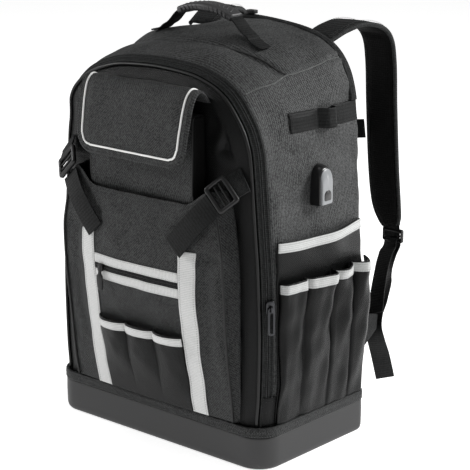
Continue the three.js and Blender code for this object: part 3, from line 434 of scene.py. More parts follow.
def cloth(name, p, thick, finish, out=(0, -1, 0), inner=None, **rest):
    """A sheet of cloth with its outer side on the grid p. out is a direction that the outer side looks along."""
    n = grid_normals(p)
    if np.sum(n * np.array(out, float)) < 0:
        n = -n
    inner = p - n * thick if inner is None else inner
    mid = (p + inner) / 2
    left, right = unit(p[:, 0] - p[:, 1]), unit(p[:, -1] - p[:, -2])
    fold = 0.35 * thick
    right_edge, left_edge = (mid[:, -1] + right * fold)[:, None], (mid[:, 0] + left * fold)[:, None]
    rings = np.concatenate([p, right_edge, inner[:, ::-1], left_edge], 1)
    u, v = lengths(p, 1), lengths(p, 0)
    u = u - u[:, u.shape[1] // 2][:, None]
    u = np.concatenate([u, u[:, -1:], u[:, ::-1], u[:, :1], u[:, :1]], 1)
    v = np.concatenate([v, v[:, -1:], v[:, ::-1], v[:, :1], v[:, :1]], 1)
    centre = np.concatenate([mid, mid[:, -1:], mid[:, ::-1], mid[:, :1]], 1)
    caps = []
    for r, nxt in ((0, 1), (-1, -2)):
        way = unit(rings[r] - rings[nxt])
        caps.append(centre[r] + (rings[r] - centre[r]) * 0.5 + way * fold)
    rings = np.concatenate([caps[0][None], rings, caps[1][None]])
    cut = np.stack([u, v], -1)
    cut = np.concatenate([cut[:1], cut, cut[-1:]])
    return ringed(name, rings, finish, cut, fan=False, **rest)


def frames(line, side):
    """Direction along a line and the side and upward directions square to it. side: one direction or one a point."""
    t = unit(np.gradient(line, axis=0))
    s = np.broadcast_to(np.asarray(side, float), line.shape)
    s = unit(s - t * np.sum(s * t, 1, keepdims=True))
    return t, s, np.cross(s, t)


def strip(name, line, side, section, finish, **rest):
    """A band along a line. section: points across it, as (to the side, up) in mm, for each point or for all."""
    _, s, up = frames(line, side)
    section = np.broadcast_to(np.asarray(section, float), (len(line), *np.shape(section)[-2:]))
    rings = line[:, None] + s[:, None] * section[..., :1] + up[:, None] * section[..., 1:]
    return ringed(name, rings, finish, **rest)


def flat_section(width, thick, steps=6):
    """Section of webbing: flat with rounded edges."""
    r = thick / 2
    turn = np.radians(np.linspace(-90, 90, steps))
    right = np.stack([width / 2 - r + r * np.cos(turn), r * np.sin(turn)], 1)
    return np.concatenate([right, -right])


def round_section(r, sides=10):
    turn = np.linspace(0, 2 * math.pi, sides, endpoint=False)
    return np.stack([r * np.cos(turn), r * np.sin(turn)], 1)


def surface_of(p, wrap=False):
    """The grid p as a surface that other pieces can be laid on."""
    m, n = p.shape[:2]
    faces = [(r * n + i, r * n + (i + 1) % n, (r + 1) * n + (i + 1) % n, (r + 1) * n + i)
             for r in range(m - 1) for i in range(n if wrap else n - 1)]
    return BVHTree.FromPolygons([tuple(q) for q in p.reshape(-1, 3)], faces)


# %% [markdown]
# The bag's outline, seen from the front, changes from the low front edge to the high rear edge. Both are noted as
# points from the floor up the right side to the middle of the top, and a share says how far the change has gone at
# each depth. On the top it dips where the seam crosses, and that seam runs forward in the middle.
# %% Sizes and outline
HALF_W, FRONT_Y, REAR_Y, FLOOR_Z = 175, -98, 98, 4.6
TRAY_H, BAND_TOP = 42, 54.85
CLOTH, THIN, WEB, TAPE, GAP = 2.6, 1.8, 1.6, 1.0, 0.35
FRONT_RIM, REAR_RIM = 30, 11
OUTLINE = [
    [0, 4.6, 0, 4.6], [-2.5, 56, -1, 56], [0, 93, 1, 93], [1.5, 168, 2, 168], [-1, 240, -0.5, 240],
    [-6, 303, -3.5, 303], [-10, 350, -5, 352], [-13.5, 387, -8, 402], [-21, 413, -11, 432], [-37, 439, -18, 460],
    [-60, 463, -33, 485], [-88, 477, -57, 502], [-122, 485, -98, 513], [-175, 488, -175, 519],
]
SHARE = [[-76, 0], [-40, 0.28], [-13, 0.43], [1, 0.55], [30, 0.8], [60, 0.94], [87, 1]]
SAG, FULL = 19, 17


def whole(column):
    right = [(HALF_W + row[column], row[column + 1]) for row in OUTLINE]
    left = [(-x, z) for x, z in right[-2::-1]]
    return [(i, *p) for i, p in enumerate(right + left)]


AT_FRONT, AT_REAR = whole(0), whole(2)


def ease(x):
    x = np.clip(x, 0, 1)
    return x * x * (3 - 2 * x)


def arch(y, k, inset=0.0):
    """Point on the bag at depth y. k: 0 at the right floor, 13 at the middle of the top, 26 at the left floor."""
    y, k, inset = np.broadcast_arrays(*(np.asarray(a, float) for a in (y, k, inset)))

    def place(k):
        low, high = follow(AT_FRONT, k), follow(AT_REAR, k)
        forward = 26 * np.clip(1 - (low[..., 0] / 130) ** 2, 0, 1) * ease((y + 76) / 40) * ease((60 - y) / 50)
        top = ease((np.minimum(k, 26 - k) - 9.7) / 0.7)
        share = follow(SHARE, y + forward) - 0.14 * top[..., None] * np.exp(-((y + forward + 7) / 5) ** 2)[..., None]
        x, z = np.moveaxis(low + (high - low) * share, -1, 0)
        swell = FULL * ease((-40 - y) / 37) * ease((z - 392) / 56) * np.clip(-x / 150, 0, 1) ** 2
        sag = SAG * ease(y / 60) * ease(-x / 90) * ease((z - 435) / 60)
        return np.stack([x - swell, z - sag], -1)

    q, way = place(k), unit(place(k + 0.02) - place(k - 0.02))
    return np.stack([q[..., 0] - inset * way[..., 1], y, q[..., 1] + inset * way[..., 0]], -1)


def front_rim(degrees, radius=FRONT_RIM):
    g = np.radians(degrees)
    return FRONT_Y + FRONT_RIM - radius * np.cos(g), FRONT_RIM - radius * np.sin(g)


def even_steps(step):
    """Values of k that are step mm apart along the outline."""
    k = np.linspace(0, 26, 1200)
    run = lengths(arch(0, k)[:, None], 0)[:, 0]
    return np.interp(np.linspace(0, run[-1], int(run[-1] / step)), run, k)


# %% [markdown]
# Cloth over a full bag is never flat. Long soft folds run through it, and each seam draws it in a little. One function
# gives that for a point on the bag, so that the pieces that are sewn on follow the same folds.
# %% Folds of the bag
SHOULDER_SEAM = [(124, -71, 454), (126, -60, 457), (130, -33, 462), (130, -5, 467), (137, 15, 472), (143, 65, 481),
                 (144, 88, 484)]
CREASES = [[(176, -60, 392), (172, -20, 380), (170, 30, 386), (170, 70, 372)],
           [(174, -66, 330), (172, -30, 344), (170, 5, 372)],
           [(174, 30, 300), (171, 60, 330), (169, 84, 350)],
           [(160, -50, 440), (156, -10, 428), (158, 40, 446), (152, 80, 452)]]


def near(p, line, count=90):
    q = smooth_line(line, count)
    return np.linalg.norm(p[..., None, :] - q, axis=-1).min(-1)


def body_soft(p):
    p = np.asarray(p, float)
    m = p * (1, 0.9, 1)
    soft = ripple(m, 3, 92) * 2.3 + ripple(m, 5, 40) * 0.8
    right = np.abs(p) * (1, 0, 1) + p * (0, 1, 0)
    for i, crease in enumerate(CREASES):
        d = near(right, crease, 40)
        soft = soft + np.exp(-(d / 13) ** 2) * (-4.6, 3.2, -3.6, 3.2)[i] - np.exp(-(d / 4) ** 2) * 0.8
    soft = soft * ease((p[..., 2] - 60) / 60)
    seam = near(right, SHOULDER_SEAM)
    return soft - 1.6 * np.exp(-(seam / 2.2) ** 2) + 0.9 * np.exp(-((seam - 5) / 3) ** 2)


def side_x(y, z):
    """Half width of the bag at y and z, with its folds."""
    y, z = np.broadcast_arrays(np.asarray(y, float), np.asarray(z, float))
    k = np.linspace(0, 10, 160)
    out = np.empty(y.shape)
    for value in np.unique(y):
        row = arch(value, k)
        here = y == value
        out[here] = np.interp(z[here], row[:, 2], row[:, 0])
    return out + body_soft(np.stack([out, y, z], -1))


# %% [markdown]
# The bag behind the main zip is one shell: sides, top and back, with a floor in the base. It is lofted as cloth is
# stretched over a body, ring after ring from the zip to the back, with its inner wall a few millimetres inside. A
# loft keeps the changing outline exactly, which a box with subdivision would not.
# %% Bag shell
K = even_steps(3.6)
stations = [front_rim(g) for g in (73, 78, 84, 90)] + [(y, 0) for y in np.arange(-64, 86, 3.0)]
stations += [(REAR_Y - REAR_RIM + REAR_RIM * math.sin(math.radians(g)), REAR_RIM * (1 - math.cos(math.radians(g))))
             for g in np.linspace(0, 90, 9)]
outer = np.stack([arch(y, K, inset) for y, inset in stations])
bag_normals = grid_normals(outer)
bag_normals *= np.sign(np.sum(bag_normals * (outer - (0, 0, 250)), -1, keepdims=True))
fade = np.clip((outer[..., 1] + 77) / 14, 0, 1)[..., None]
outer_soft = outer + bag_normals * body_soft(outer)[..., None] * fade
last = outer_soft[-1]
back_rings = [(0, REAR_Y, 250) + (last - (0, REAR_Y, 250)) * s for s in (0.985, 0.96, 0.92, 0.86, 0.78, 0.6, 0.3)]
inner = np.stack([arch(y, K, inset + CLOTH + 0.4) for y, inset in stations[::6]])
inner[..., 2] = np.maximum(inner[..., 2], FLOOR_Z + CLOTH)
inner[..., 1] = np.minimum(inner[..., 1], REAR_Y - CLOTH)
rings = np.concatenate([inner[::-1], outer_soft, np.array(back_rings)])
u = lengths(np.concatenate([rings, rings[:, :1]], 1), 1)
u = u - u[:, [len(K) // 2]]
v = rings.mean(1)[:, 1][:, None] * np.ones_like(u)
cut = np.stack([u, v], -1)
n_back = len(back_rings) + 1
closed_rings = np.concatenate([rings, rings[:, :1]], 1)
cut[-n_back:] = closed_rings[-n_back:][..., [0, 2]] + (0, 400)
shell = ringed("body_shell_cloth", rings, BODY_CLOTH, cut, stands_for=["body_shell"])
print("bag shell:", len(shell.data.polygons), "faces")

# %% [markdown]
# The front panel closes the bag in front. Its rim turns back to the zip and its face is drawn tight between pockets
# and rim, so it creases. The creases are pressed in along a few lines that fan out from the corners of the pocket.
# %% Front panel
PANEL_FOLDS = [[(150, 455), (128, 430), (118, 400)], [(160, 400), (138, 388), (112, 392)],
               [(152, 350), (146, 330), (138, 300)], [(100, 470), (104, 448), (98, 440)],
               [(-150, 455), (-128, 425), (-116, 392)], [(-158, 380), (-140, 372), (-116, 366)],
               [(60, 478), (70, 466), (66, 455)], [(-60, 478), (-72, 466), (-70, 452)],
               [(158, 300), (150, 240), (156, 180)], [(150, 150), (158, 120), (150, 80)]]


def panel_soft(x, z):
    """How far the face of the front panel stands out of its plane."""
    p = np.stack([x, z], -1)
    soft = ripple(np.stack([x, 0 * x, z], -1), 11, 60) * 2.2 + ripple(np.stack([x, 0 * x, z], -1), 12, 26) * 0.9
    for i, line in enumerate(PANEL_FOLDS):
        q = smooth_line([(a, b, 0) for a, b in line], 30)[:, :2]
        d = np.linalg.norm(p[..., None, :] - q, axis=-1).min(-1)
        soft = soft - np.exp(-(d / 7) ** 2) * (5.2, 4.6, 4.2, 4)[i % 4] + np.exp(-((d - 11) / 5) ** 2) * 1.6
    return np.where(soft > 0, soft * 0.3, soft) - 0.6


rim_rings = [arch(y, K, inset) for y, inset in [front_rim(g) for g in (43, 36, 28, 20, 13, 6, 0)]]
edge = rim_rings[-1]
middle = np.array([0, FRONT_Y, 250])
for s in np.r_[np.linspace(0.985, 0.5, 34), 0.35, 0.15]:
    ring = middle + (edge - middle) * s
    ring[:, 1] = FRONT_Y - panel_soft(ring[:, 0], ring[:, 2]) * ease((1 - s) / 0.06) * ease((ring[:, 2] - 40) / 50)
    rim_rings.append(ring)
inner_rim = [arch(y, K, inset) for y, inset in [front_rim(g, FRONT_RIM - 3) for g in (0, 14, 28, 43)]]
back_side = [middle + (0, 3.2, 0) + (inner_rim[0] - middle - (0, 3.2, 0)) * s for s in (0.2, 0.6)]
for ring in back_side:
    ring[:, 1] = FRONT_Y + 9
rings = np.array([*back_side, *inner_rim, *rim_rings])
closed_rings = np.concatenate([rings, rings[:, :1]], 1)
cut = closed_rings[..., [0, 2]] + (closed_rings[..., 1:2] - FRONT_Y) * unit(closed_rings[..., [0, 2]] - (0, 250))
panel = ringed("front_panel_cloth", rings, GUSSET, cut, stands_for=["front_panel"])
print("front panel:", len(panel.data.polygons), "faces")

# %% [markdown]
# Teeth, coils, stitches and ribs all repeat along a line. One Geometry Nodes tree sets a small bead at even steps on
# it: a curve is made of the line, cut into equal lengths, and each bead is turned along the line with its top towards
# the direction stored in the attribute named up.
# %% Beads along a line


def bead_tree():
    tree = bpy.data.node_groups.new("beads_along_line", "GeometryNodeTree")
    for name, kind in (("Geometry", "Geometry"), ("Pitch", "Float"), ("Size", "Vector"), ("Turn", "Vector"),
                       ("Finish", "Material")):
        tree.interface.new_socket(name, in_out="INPUT", socket_type="NodeSocket" + kind)
    tree.interface.new_socket("Geometry", in_out="OUTPUT", socket_type="NodeSocketGeometry")
    start = tree.nodes.new("NodeGroupInput").outputs
    curve = put(tree, "GeometryNodeMeshToCurve", {0: start["Geometry"]}).outputs[0]
    even = put(tree, "GeometryNodeResampleCurve", {"Curve": curve, "Length": start["Pitch"]}, mode="LENGTH").outputs[0]
    along = put(tree, "GeometryNodeInputTangent").outputs[0]
    top = put(tree, "GeometryNodeInputNamedAttribute", {"Name": "up"}, data_type="FLOAT_VECTOR").outputs[0]
    first = put(tree, "FunctionNodeAlignRotationToVector", {"Vector": along}, axis="X").outputs[0]
    second = put(tree, "FunctionNodeAlignRotationToVector", {"Rotation": first, "Vector": top}, axis="Z",
                 pivot_axis="X").outputs[0]
    extra = put(tree, "FunctionNodeEulerToRotation", {0: start["Turn"]}).outputs[0]
    turned = put(tree, "FunctionNodeRotateRotation", {0: second, 1: extra}, rotation_space="LOCAL").outputs[0]
    bead = put(tree, "GeometryNodeMeshUVSphere", {"Segments": 6, "Rings": 4, "Radius": 0.5}).outputs[0]
    bead = put(tree, "GeometryNodeSetShadeSmooth", {0: bead}).outputs[0]
    placed = put(tree, "GeometryNodeInstanceOnPoints", {"Points": even, "Instance": bead, "Rotation": turned,
                 "Scale": start["Size"]}).outputs[0]
    real = put(tree, "GeometryNodeRealizeInstances", {0: placed}).outputs[0]
    done = put(tree, "GeometryNodeSetMaterial", {"Geometry": real, "Material": start["Finish"]}).outputs[0]
    put(tree, "NodeGroupOutput", {0: done})
    return tree


BEADS = bead_tree()


def beads(name, lines, ups, pitch, size, finish, turn=(0, 0, 0)):
    """Beads on one or more lines. ups: the upward direction, one for all or one a point."""
    points, tops, edges = [], [], []
    for line, up in zip(lines, ups):
        start = len(points)
        points += [tuple(p) for p in np.asarray(line) * MM]
        tops.append(np.broadcast_to(np.asarray(up, float), np.shape(line)))
        edges += [(start + i, start + i + 1) for i in range(len(line) - 1)]
    mesh = bpy.data.meshes.new(name)
    mesh.from_pydata(points, edges, [])
    mesh.attributes.new("up", "FLOAT_VECTOR", "POINT").data.foreach_set("vector", np.concatenate(tops).ravel())
    made = bpy.data.objects.new(name, mesh)
    bpy.context.scene.collection.objects.link(made)
    modifier = made.modifiers.new("beads", "NODES")
    modifier.node_group = BEADS
    sockets = {s.name: s.identifier for s in BEADS.interface.items_tree if s.in_out == "INPUT"}
    modifier[sockets["Pitch"]] = pitch * MM
    modifier[sockets["Size"]] = [s * MM for s in size]
    modifier[sockets["Turn"]] = [math.radians(t) for t in turn]
    modifier[sockets["Finish"]] = finish
    whole_mesh = bpy.data.meshes.new_from_object(made.evaluated_get(bpy.context.evaluated_depsgraph_get()))
    made.modifiers.clear()
    made.data = whole_mesh
    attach(made, BAG)
    return made


# %% [markdown]
# Two seams join the cloth of the sides and the top. The one along the shoulder is top-stitched and stands as a thin
# ridge, drawn in lighter cloth as a painted highlight; the one across the top lies in its valley, and a black cord laid
# in it is painted shadow. Both are laid on the shell where it is nearest.
# %% Seams of the shell
shell_surface = surface_of(outer_soft, wrap=True)
VALLEY_SEAM = [(130, -5, 467), (104, -14, 485), (71, -22, 493), (40, -30, 496), (0, -34, 497), (-40, -30, 496),
               (-71, -22, 491), (-104, -14, 478), (-130, -5, 458)]


def lay(line, count, lift):
    hits = [shell_surface.find_nearest(Vector(p)) for p in smooth_line(line, count)]
    at, n = np.array([h[0] for h in hits]), np.array([h[1] for h in hits])
    n = n * np.sign(np.sum(n * (at - (0, 0, 250)), 1, keepdims=True))
    return at + n * lift, n


# Lighter cloth for the shoulder seam ridge: a painted highlight where the ridge catches the light.
SEAM_PAINTED_HIGHLIGHT = woven("nylon_seam_painted_highlight_woven", "#2c2d2d", "#585a59", 1.4, 0.3, 0.5, specular=0.35)
for side, sign in (("right", 1), ("left", -1)):
    at, n = lay([(sign * a, b, c - (6 if sign < 0 else 0)) for a, b, c in SHOULDER_SEAM], 150, 0.2)
    strip("shoulder_seam_" + side, at, n, round_section(1, 8) * (0.75, 0.95), SEAM_PAINTED_HIGHLIGHT, slot="body_cloth")
    below = at - (0, 0, 5.5) + n * 0.3
    beads("shoulder_seam_stitches_" + side, [below], [n], 3.6, (2.7, 0.7, 0.6), THREAD)
# A black cord laid in the valley of the top seam: painted shadow along it.
at, n = lay(VALLEY_SEAM, 220, -0.2)
strip("top_seam_painted_shadow", at, n, round_section(1, 8) * (0.9, 1.3), THREAD, slot="body_cloth")

# %% [markdown]
# A coil zip is two woven tapes with a moulded nylon spiral between them. On this bag the zip is sewn in with the
# spiral inside, so the tapes meet in a narrow groove, and each tape is edged by a raised seam. The strip carries that
# section, and the beads give the turns of the spiral that press through.
# %% Main zip strip
ZIP_SECTION = [[44, 0.3], [45.2, 1.9], [47.2, 2.0], [48.4, 0.1], [54, 0.1], [54.8, 1.3], [57, 1.4], [57.7, -1.1],
               [58.7, -1.1], [59.4, 1.4], [61.6, 1.3], [62.4, 0.1], [67.4, 0.1], [68.6, 2.0], [70.8, 1.9], [72, 0.3]]
degrees = np.interp(np.linspace(0, 1, 46), np.linspace(0, 1, len(ZIP_SECTION)), [row[0] for row in ZIP_SECTION])
zip_k = even_steps(3.2)
zip_k = zip_k[(zip_k > 0.4) & (zip_k < 25.6)]


def on_rim(k, g, lift):
    y, inset = front_rim(g, FRONT_RIM + lift)
    return arch(y, k, inset)


strip_grid = np.stack([on_rim(zip_k, g, follow(ZIP_SECTION, g)[0]) for g in degrees], 1)
cloth("main_zip_strip_cloth", strip_grid, 1.4, BINDING, out=(0, -1, 0.3), stands_for=["main_zip_strip"])
coil_line = on_rim(zip_k, 58.2, -0.3)
coil_up = unit(on_rim(zip_k, 58.2, 3) - coil_line)
beads("main_zip_coil", [coil_line], [coil_up], 1.9, (1.5, 2.6, 1.6), ZIP_COIL)
for g, name in ((46.4, "front"), (69.6, "rear")):
    line = on_rim(zip_k, g, 1.3)
    beads("main_zip_stitches_" + name, [line], [coil_up], 4.2, (3.2, 0.7, 0.6), THREAD)
pipe_line = on_rim(zip_k, 38, 2.3)
pipe_line = pipe_line[(pipe_line[:, 2] > BAND_TOP + 0.8)]
strip("front_piping_cord", pipe_line, (0, 1, 0.2), round_section(2.0, 10), PIPING_BLACK, stands_for=["front_piping"])

# %% [markdown]
# The fabric garage covers the lower end of the zip. It is a patch with turned edges, stitched on both sides.
# %% Zip garages
for side, sign in (("right", 1), ("left", -1)):
    zs = np.linspace(BAND_TOP + 0.7, BAND_TOP + 37, 16)
    gs = np.linspace(46, 79, 22)
    p = np.empty((len(zs), len(gs), 3))
    for j, g in enumerate(gs):
        y, inset = front_rim(g, FRONT_RIM + 1.7 + 0.5 * math.sin((g - 46) / 33 * math.pi))
        row = arch(y, np.linspace(0, 6, 60))
        p[:, j] = np.stack([np.interp(zs, row[:, 2], row[:, 0]) - inset, y + 0 * zs, zs], -1)
    p = p * (sign, 1, 1)
    cloth("zip_garage_cloth_" + side, p, 1.2, COATED, out=(sign, -0.6, 0), stands_for=["zip_garage_" + side])
    rows = [p[:, 2], p[:, -3], p[-3, 1:-1]]
    lift = np.array([sign * 0.8, -0.5, 0])
    beads("zip_garage_stitches_" + side, [r + lift * 0.5 for r in rows], [(sign, -0.6, 0)] * 3, 3.4, (2.6, 0.7, 0.6),
          THREAD)

# %% [markdown]
# The rear zip runs over the top near the back edge. Its strip is raised by the seam allowance under it.
# %% Rear zip
REAR_SECTION = [[-6, 0.6], [-4.6, 2.4], [-1.5, 2.9], [-0.6, 3.4], [-0.2, 2.2], [0.2, 2.2], [0.6, 3.4], [1.5, 2.9],
                [4.6, 2.4], [6, 0.6]]
rear_k = np.linspace(8, 18, 230)
p = np.stack([arch(85 + a, rear_k, -follow(REAR_SECTION, a)[0]) for a in np.linspace(-6, 6, 31)], 1)
cloth("rear_zip_strip_cloth", p, 1.4, STRAP_CLOTH, out=(0, 0, 1), stands_for=["rear_zip_strip"])
line = arch(85, rear_k, -2.6)
beads("rear_zip_coil", [line], [unit(arch(85, rear_k, -6) - line)], 1.9, (1.5, 2.2, 1.5), ZIP_COIL)
# %% [markdown]
# Hard pieces keep their CAD shape. What the solid lacks is the eased edge that moulding and casting leave, so a copy
# of it is merged, its flat faces are joined, and its edges are bevelled a few tenths of a millimetre.
# %% Eased edges of hard pieces


def eased(node, width, finish, body=BAG, tight=30):
    mesh = bpy.data.objects[node].data.copy()
    mesh.name = node + "_eased"
    work = bmesh.new()
    work.from_mesh(mesh)
    bmesh.ops.remove_doubles(work, verts=work.verts, dist=1e-6)
    bmesh.ops.dissolve_limit(work, angle_limit=math.radians(2), verts=work.verts, edges=work.edges)
    work.to_mesh(mesh)
    work.free()
    mesh.materials.clear()
    mesh.materials.append(finish)
    made = bpy.data.objects.new(node + "_eased", mesh)
    bpy.context.scene.collection.objects.link(made)
    bevel = made.modifiers.new("eased", "BEVEL")
    bevel.width, bevel.segments, bevel.angle_limit = width * MM, 3, math.radians(tight)
    whole_mesh = bpy.data.meshes.new_from_object(made.evaluated_get(bpy.context.evaluated_depsgraph_get()))
    made.modifiers.clear()
    made.data = whole_mesh
    whole_mesh.polygons.foreach_set("use_smooth", [True] * len(whole_mesh.polygons))
    whole_mesh.set_sharp_from_angle(angle=math.radians(50))
    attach(made, body)
    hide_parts(node)
    return made


for node, finish in (("main_zip_slider", ZIP_METAL), ("main_zip_bridge", ZIP_METAL), ("rear_zip_slider", ZIP_BLACK),
                     ("pocket_zip_slider", ZIP_BLACK)):
    eased(node, 0.7, finish)
eased("main_zip_pull", 0.45, ZIP_METAL, body="zip_pull")
print("sliders and pull eased")

# %% [markdown]
# The base is a tray of moulded rubber. Its section runs from the floor inside over the rim and down the outer wall to
# a rounded foot, and its plan has larger corners in front than behind.
# %% Moulded base
BASE_HALF_W, BASE_HALF_D, REAR_R, FRONT_R = 180, 103, 15, 33
TRAY_SECTION = [(6, 4), (4.4, 4.2), (4, 5.5), (4, 20), (4, 40.8), (3.4, 41.8), (2, 42), (0.7, 41.8), (0, 41), (0, 39),
                (-0.25, 30), (-0.2, 18), (0, 10), (0.1, 7), (0.5, 4.6), (1.4, 2.4), (2.8, 0.9), (5, 0.1), (9, 0)]


def base_plan(inset, steps=14):
    """Plan of the base, inset from its outline: four round corners and the straight runs between them."""
    arcs = []
    for sx, sy, start, full in ((1, 1, 0, REAR_R), (-1, 1, 90, REAR_R), (-1, -1, 180, FRONT_R), (1, -1, 270, FRONT_R)):
        r = max(full - inset, 1.5)
        g = np.radians(np.linspace(start, start + 90, steps))
        arcs.append(np.stack([sx * (BASE_HALF_W - inset - r) + r * np.cos(g),
                              sy * (BASE_HALF_D - inset - r) + r * np.sin(g)], 1))
    out = []
    for arc, after in zip(arcs, arcs[1:] + arcs[:1]):
        out += [arc, arc[-1] + (after[0] - arc[-1]) * np.linspace(0, 1, 26)[1:-1, None]]
    return np.concatenate(out)


def plan_ring(inset, z):
    p = base_plan(inset)
    return np.concatenate([p, np.full((len(p), 1), z)], 1)


ringed("base_tray_rubber", [plan_ring(a, z) for a, z in TRAY_SECTION], BASE_RUBBER, stands_for=["base_tray"])

# %% [markdown]
# A band of the same cloth is sewn round the top of the base. It is turned in at both edges and stitched twice, and the
# bag above it is drawn in, which leaves a dark line.
# %% Band round the base
BAND = [(-0.5, 42.5), (-1.1, 43.6), (-1.2, 45), (-0.8, 46.2), (-1.3, 48.5), (-1.2, 51), (-0.7, 52.2), (-1.0, 53.4),
        (-0.4, 54.5), (0.8, 54.8), (2.4, 54.6), (3.3, 53.5), (3.3, 43.5), (2.4, 42.5)]
ringed("base_band_cloth", [plan_ring(a, z) for a, z in BAND], PACK_CLOTH, wrap=True, stands_for=["base_binding"])
for z, name in ((46.3, "low"), (52.3, "high")):
    ring = plan_ring(-0.8, z)
    ring = np.concatenate([ring, ring[:1]])
    outward = unit(np.concatenate([plan_ring(-3, z), plan_ring(-3, z)[:1]]) - ring)
    beads("base_band_stitches_" + name, [ring], [outward], 4.0, (3.0, 0.7, 0.6), THREAD)

# %% [markdown]
# The lower pocket stands off the front panel, fullest in the middle. Its mouth is hemmed and its corners are drawn up
# by the compression straps. What is sewn on it, such as tapes, zip and loops, is laid on the same surface.
# %% Lower pocket
LOWER = [[55.45, 133, 8, 5, 140], [83, 134, 15, 9, 141], [153, 133, 29, 17, 141], [218, 134, 38, 23, 141],
         [265, 133, 40, 25, 139], [303, 124, 35, 24, 132], [324, 113, 30, 23, 120]]
POCKET_DENTS = [[(108, 270), (112, 210), (106, 150)], [(-108, 262), (-112, 190), (-106, 130)],
                [(60, 318), (30, 306), (-30, 308)], [(124, 250), (120, 190), (126, 120)],
                [(70, 292), (92, 268), (122, 262)], [(-64, 296), (-92, 276), (-118, 270)]]


def pocket_soft(x, z):
    p = np.stack([x, 0 * x, z], -1)
    soft = ripple(p, 21, 70) * 1.2 + ripple(p, 22, 30) * 0.35
    for i, line in enumerate(POCKET_DENTS):
        d = near(p, [(a, 0, b) for a, b in line], 30)
        soft = soft - np.exp(-(d / 8) ** 2) * (2.6, 2.4, 2.2, -2.0, 2.8, 2.8)[i]
    return soft * ease((z - 58) / 30) * ease((136 - np.abs(x)) / 12)


def stand(x, z):
    """How far the face of the lower pocket stands off the front panel."""
    x, z = np.broadcast_arrays(np.asarray(x, float), np.asarray(z, float))
    half, mid, edge_out, _ = np.moveaxis(follow(LOWER, z), -1, 0)
    across = np.clip(np.abs(x) / half, 0, 1)
    return edge_out + (mid - edge_out) * (1 - across**2) + pocket_soft(x, z)


def on_pocket(x, z, lift):
    x, z = np.broadcast_arrays(np.asarray(x, float), np.asarray(z, float))
    return np.stack([x, FRONT_Y - stand(x, z) - lift, z], -1)


rows = [(55.6, 0.1), (55.45, 0.5), (55.6, 0.88), (56.6, 0.97), (59, 1)] + [(z, 1) for z in np.linspace(62, 324, 88)]
across = np.sin(np.linspace(-1, 1, 111) * math.pi / 2 * 0.92) / math.sin(math.pi / 2 * 0.92)
grid = []
for z, share in rows:
    half, mid, edge_out, back = follow(LOWER, z)
    rise = 20 * ease((np.abs(across) - 0.66) / 0.34) * ease((z - 276) / 48)
    face = on_pocket(across * half, np.full(len(across), z), 0) + np.stack([0 * rise, 0 * rise, rise], -1)
    face[:, 1] = FRONT_Y - GAP - (FRONT_Y - GAP - face[:, 1]) * share
    wall = []
    for s in np.linspace(0, 1, 9)[:-1]:
        bow = 2.2 * math.sin(math.pi * s)
        wall.append((back + (half - back) * s + bow * -0.5, FRONT_Y - GAP - s * (-face[-1, 1] + FRONT_Y - GAP),
                     z + rise[-1]))
    wall = np.array(wall)
    grid.append(np.concatenate([wall * (-1, 1, 1), face, wall[::-1]]))
grid = np.array(grid)
lower = cloth("lower_pocket_cloth", grid, THIN, PACK_CLOTH, stands_for=["lower_pocket"])
print("lower pocket:", len(lower.data.polygons), "faces")
for side, sign in (("right", 1), ("left", -1)):
    zs = np.linspace(BAND_TOP + 2.5, 318, 120)
    half, _, edge_out, _ = np.moveaxis(follow(LOWER, zs), -1, 0)
    rise = 20 * ease((zs - 276) / 48)
    line = np.stack([sign * (half + 1.1), FRONT_Y - edge_out - 1.3, zs + rise], 1)
    strip("lower_pocket_piping_cord_" + side, line, (0, 1, 0), round_section(1.5, 10), PIPING_BLACK,
          stands_for=["lower_pocket_piping_" + side])
hem_x = np.linspace(-108, 108, 160)
for drop, name in ((9, "low"), (2.5, "high")):
    half = follow(LOWER, 324 - drop)[0]
    rise = 20 * ease((np.abs(hem_x / half) - 0.66) / 0.34) * ease((324 - drop - 276) / 48)
    line = on_pocket(hem_x, np.full(160, 324.0 - drop), 0.15) + np.stack([0 * rise, 0 * rise, rise], -1)
    beads("pocket_hem_stitches_" + name, [line], [(0, -1, 0)], 3.6, (2.7, 0.7, 0.6), THREAD)

# %% [markdown]
# Light tape is woven, 24 mm wide, and sewn down along both edges. The vertical tapes run from the base to the
# compression straps. Two narrower tapes hold the pocket zip between them.
# %% Light tapes and pocket zip
TAPE_LINE = [[55.85, 83], [153, 83.5], [264, 83.5]]
ZIP_MID = 224


def tape_profile(share):
    """Rise of a tape across its width: rolled edges and a groove where the stitches pull it down."""
    s = np.abs(share)
    return 0.25 * hump((s - 0.93) / 0.07) - 0.35 * hump((s - 0.8) / 0.09)


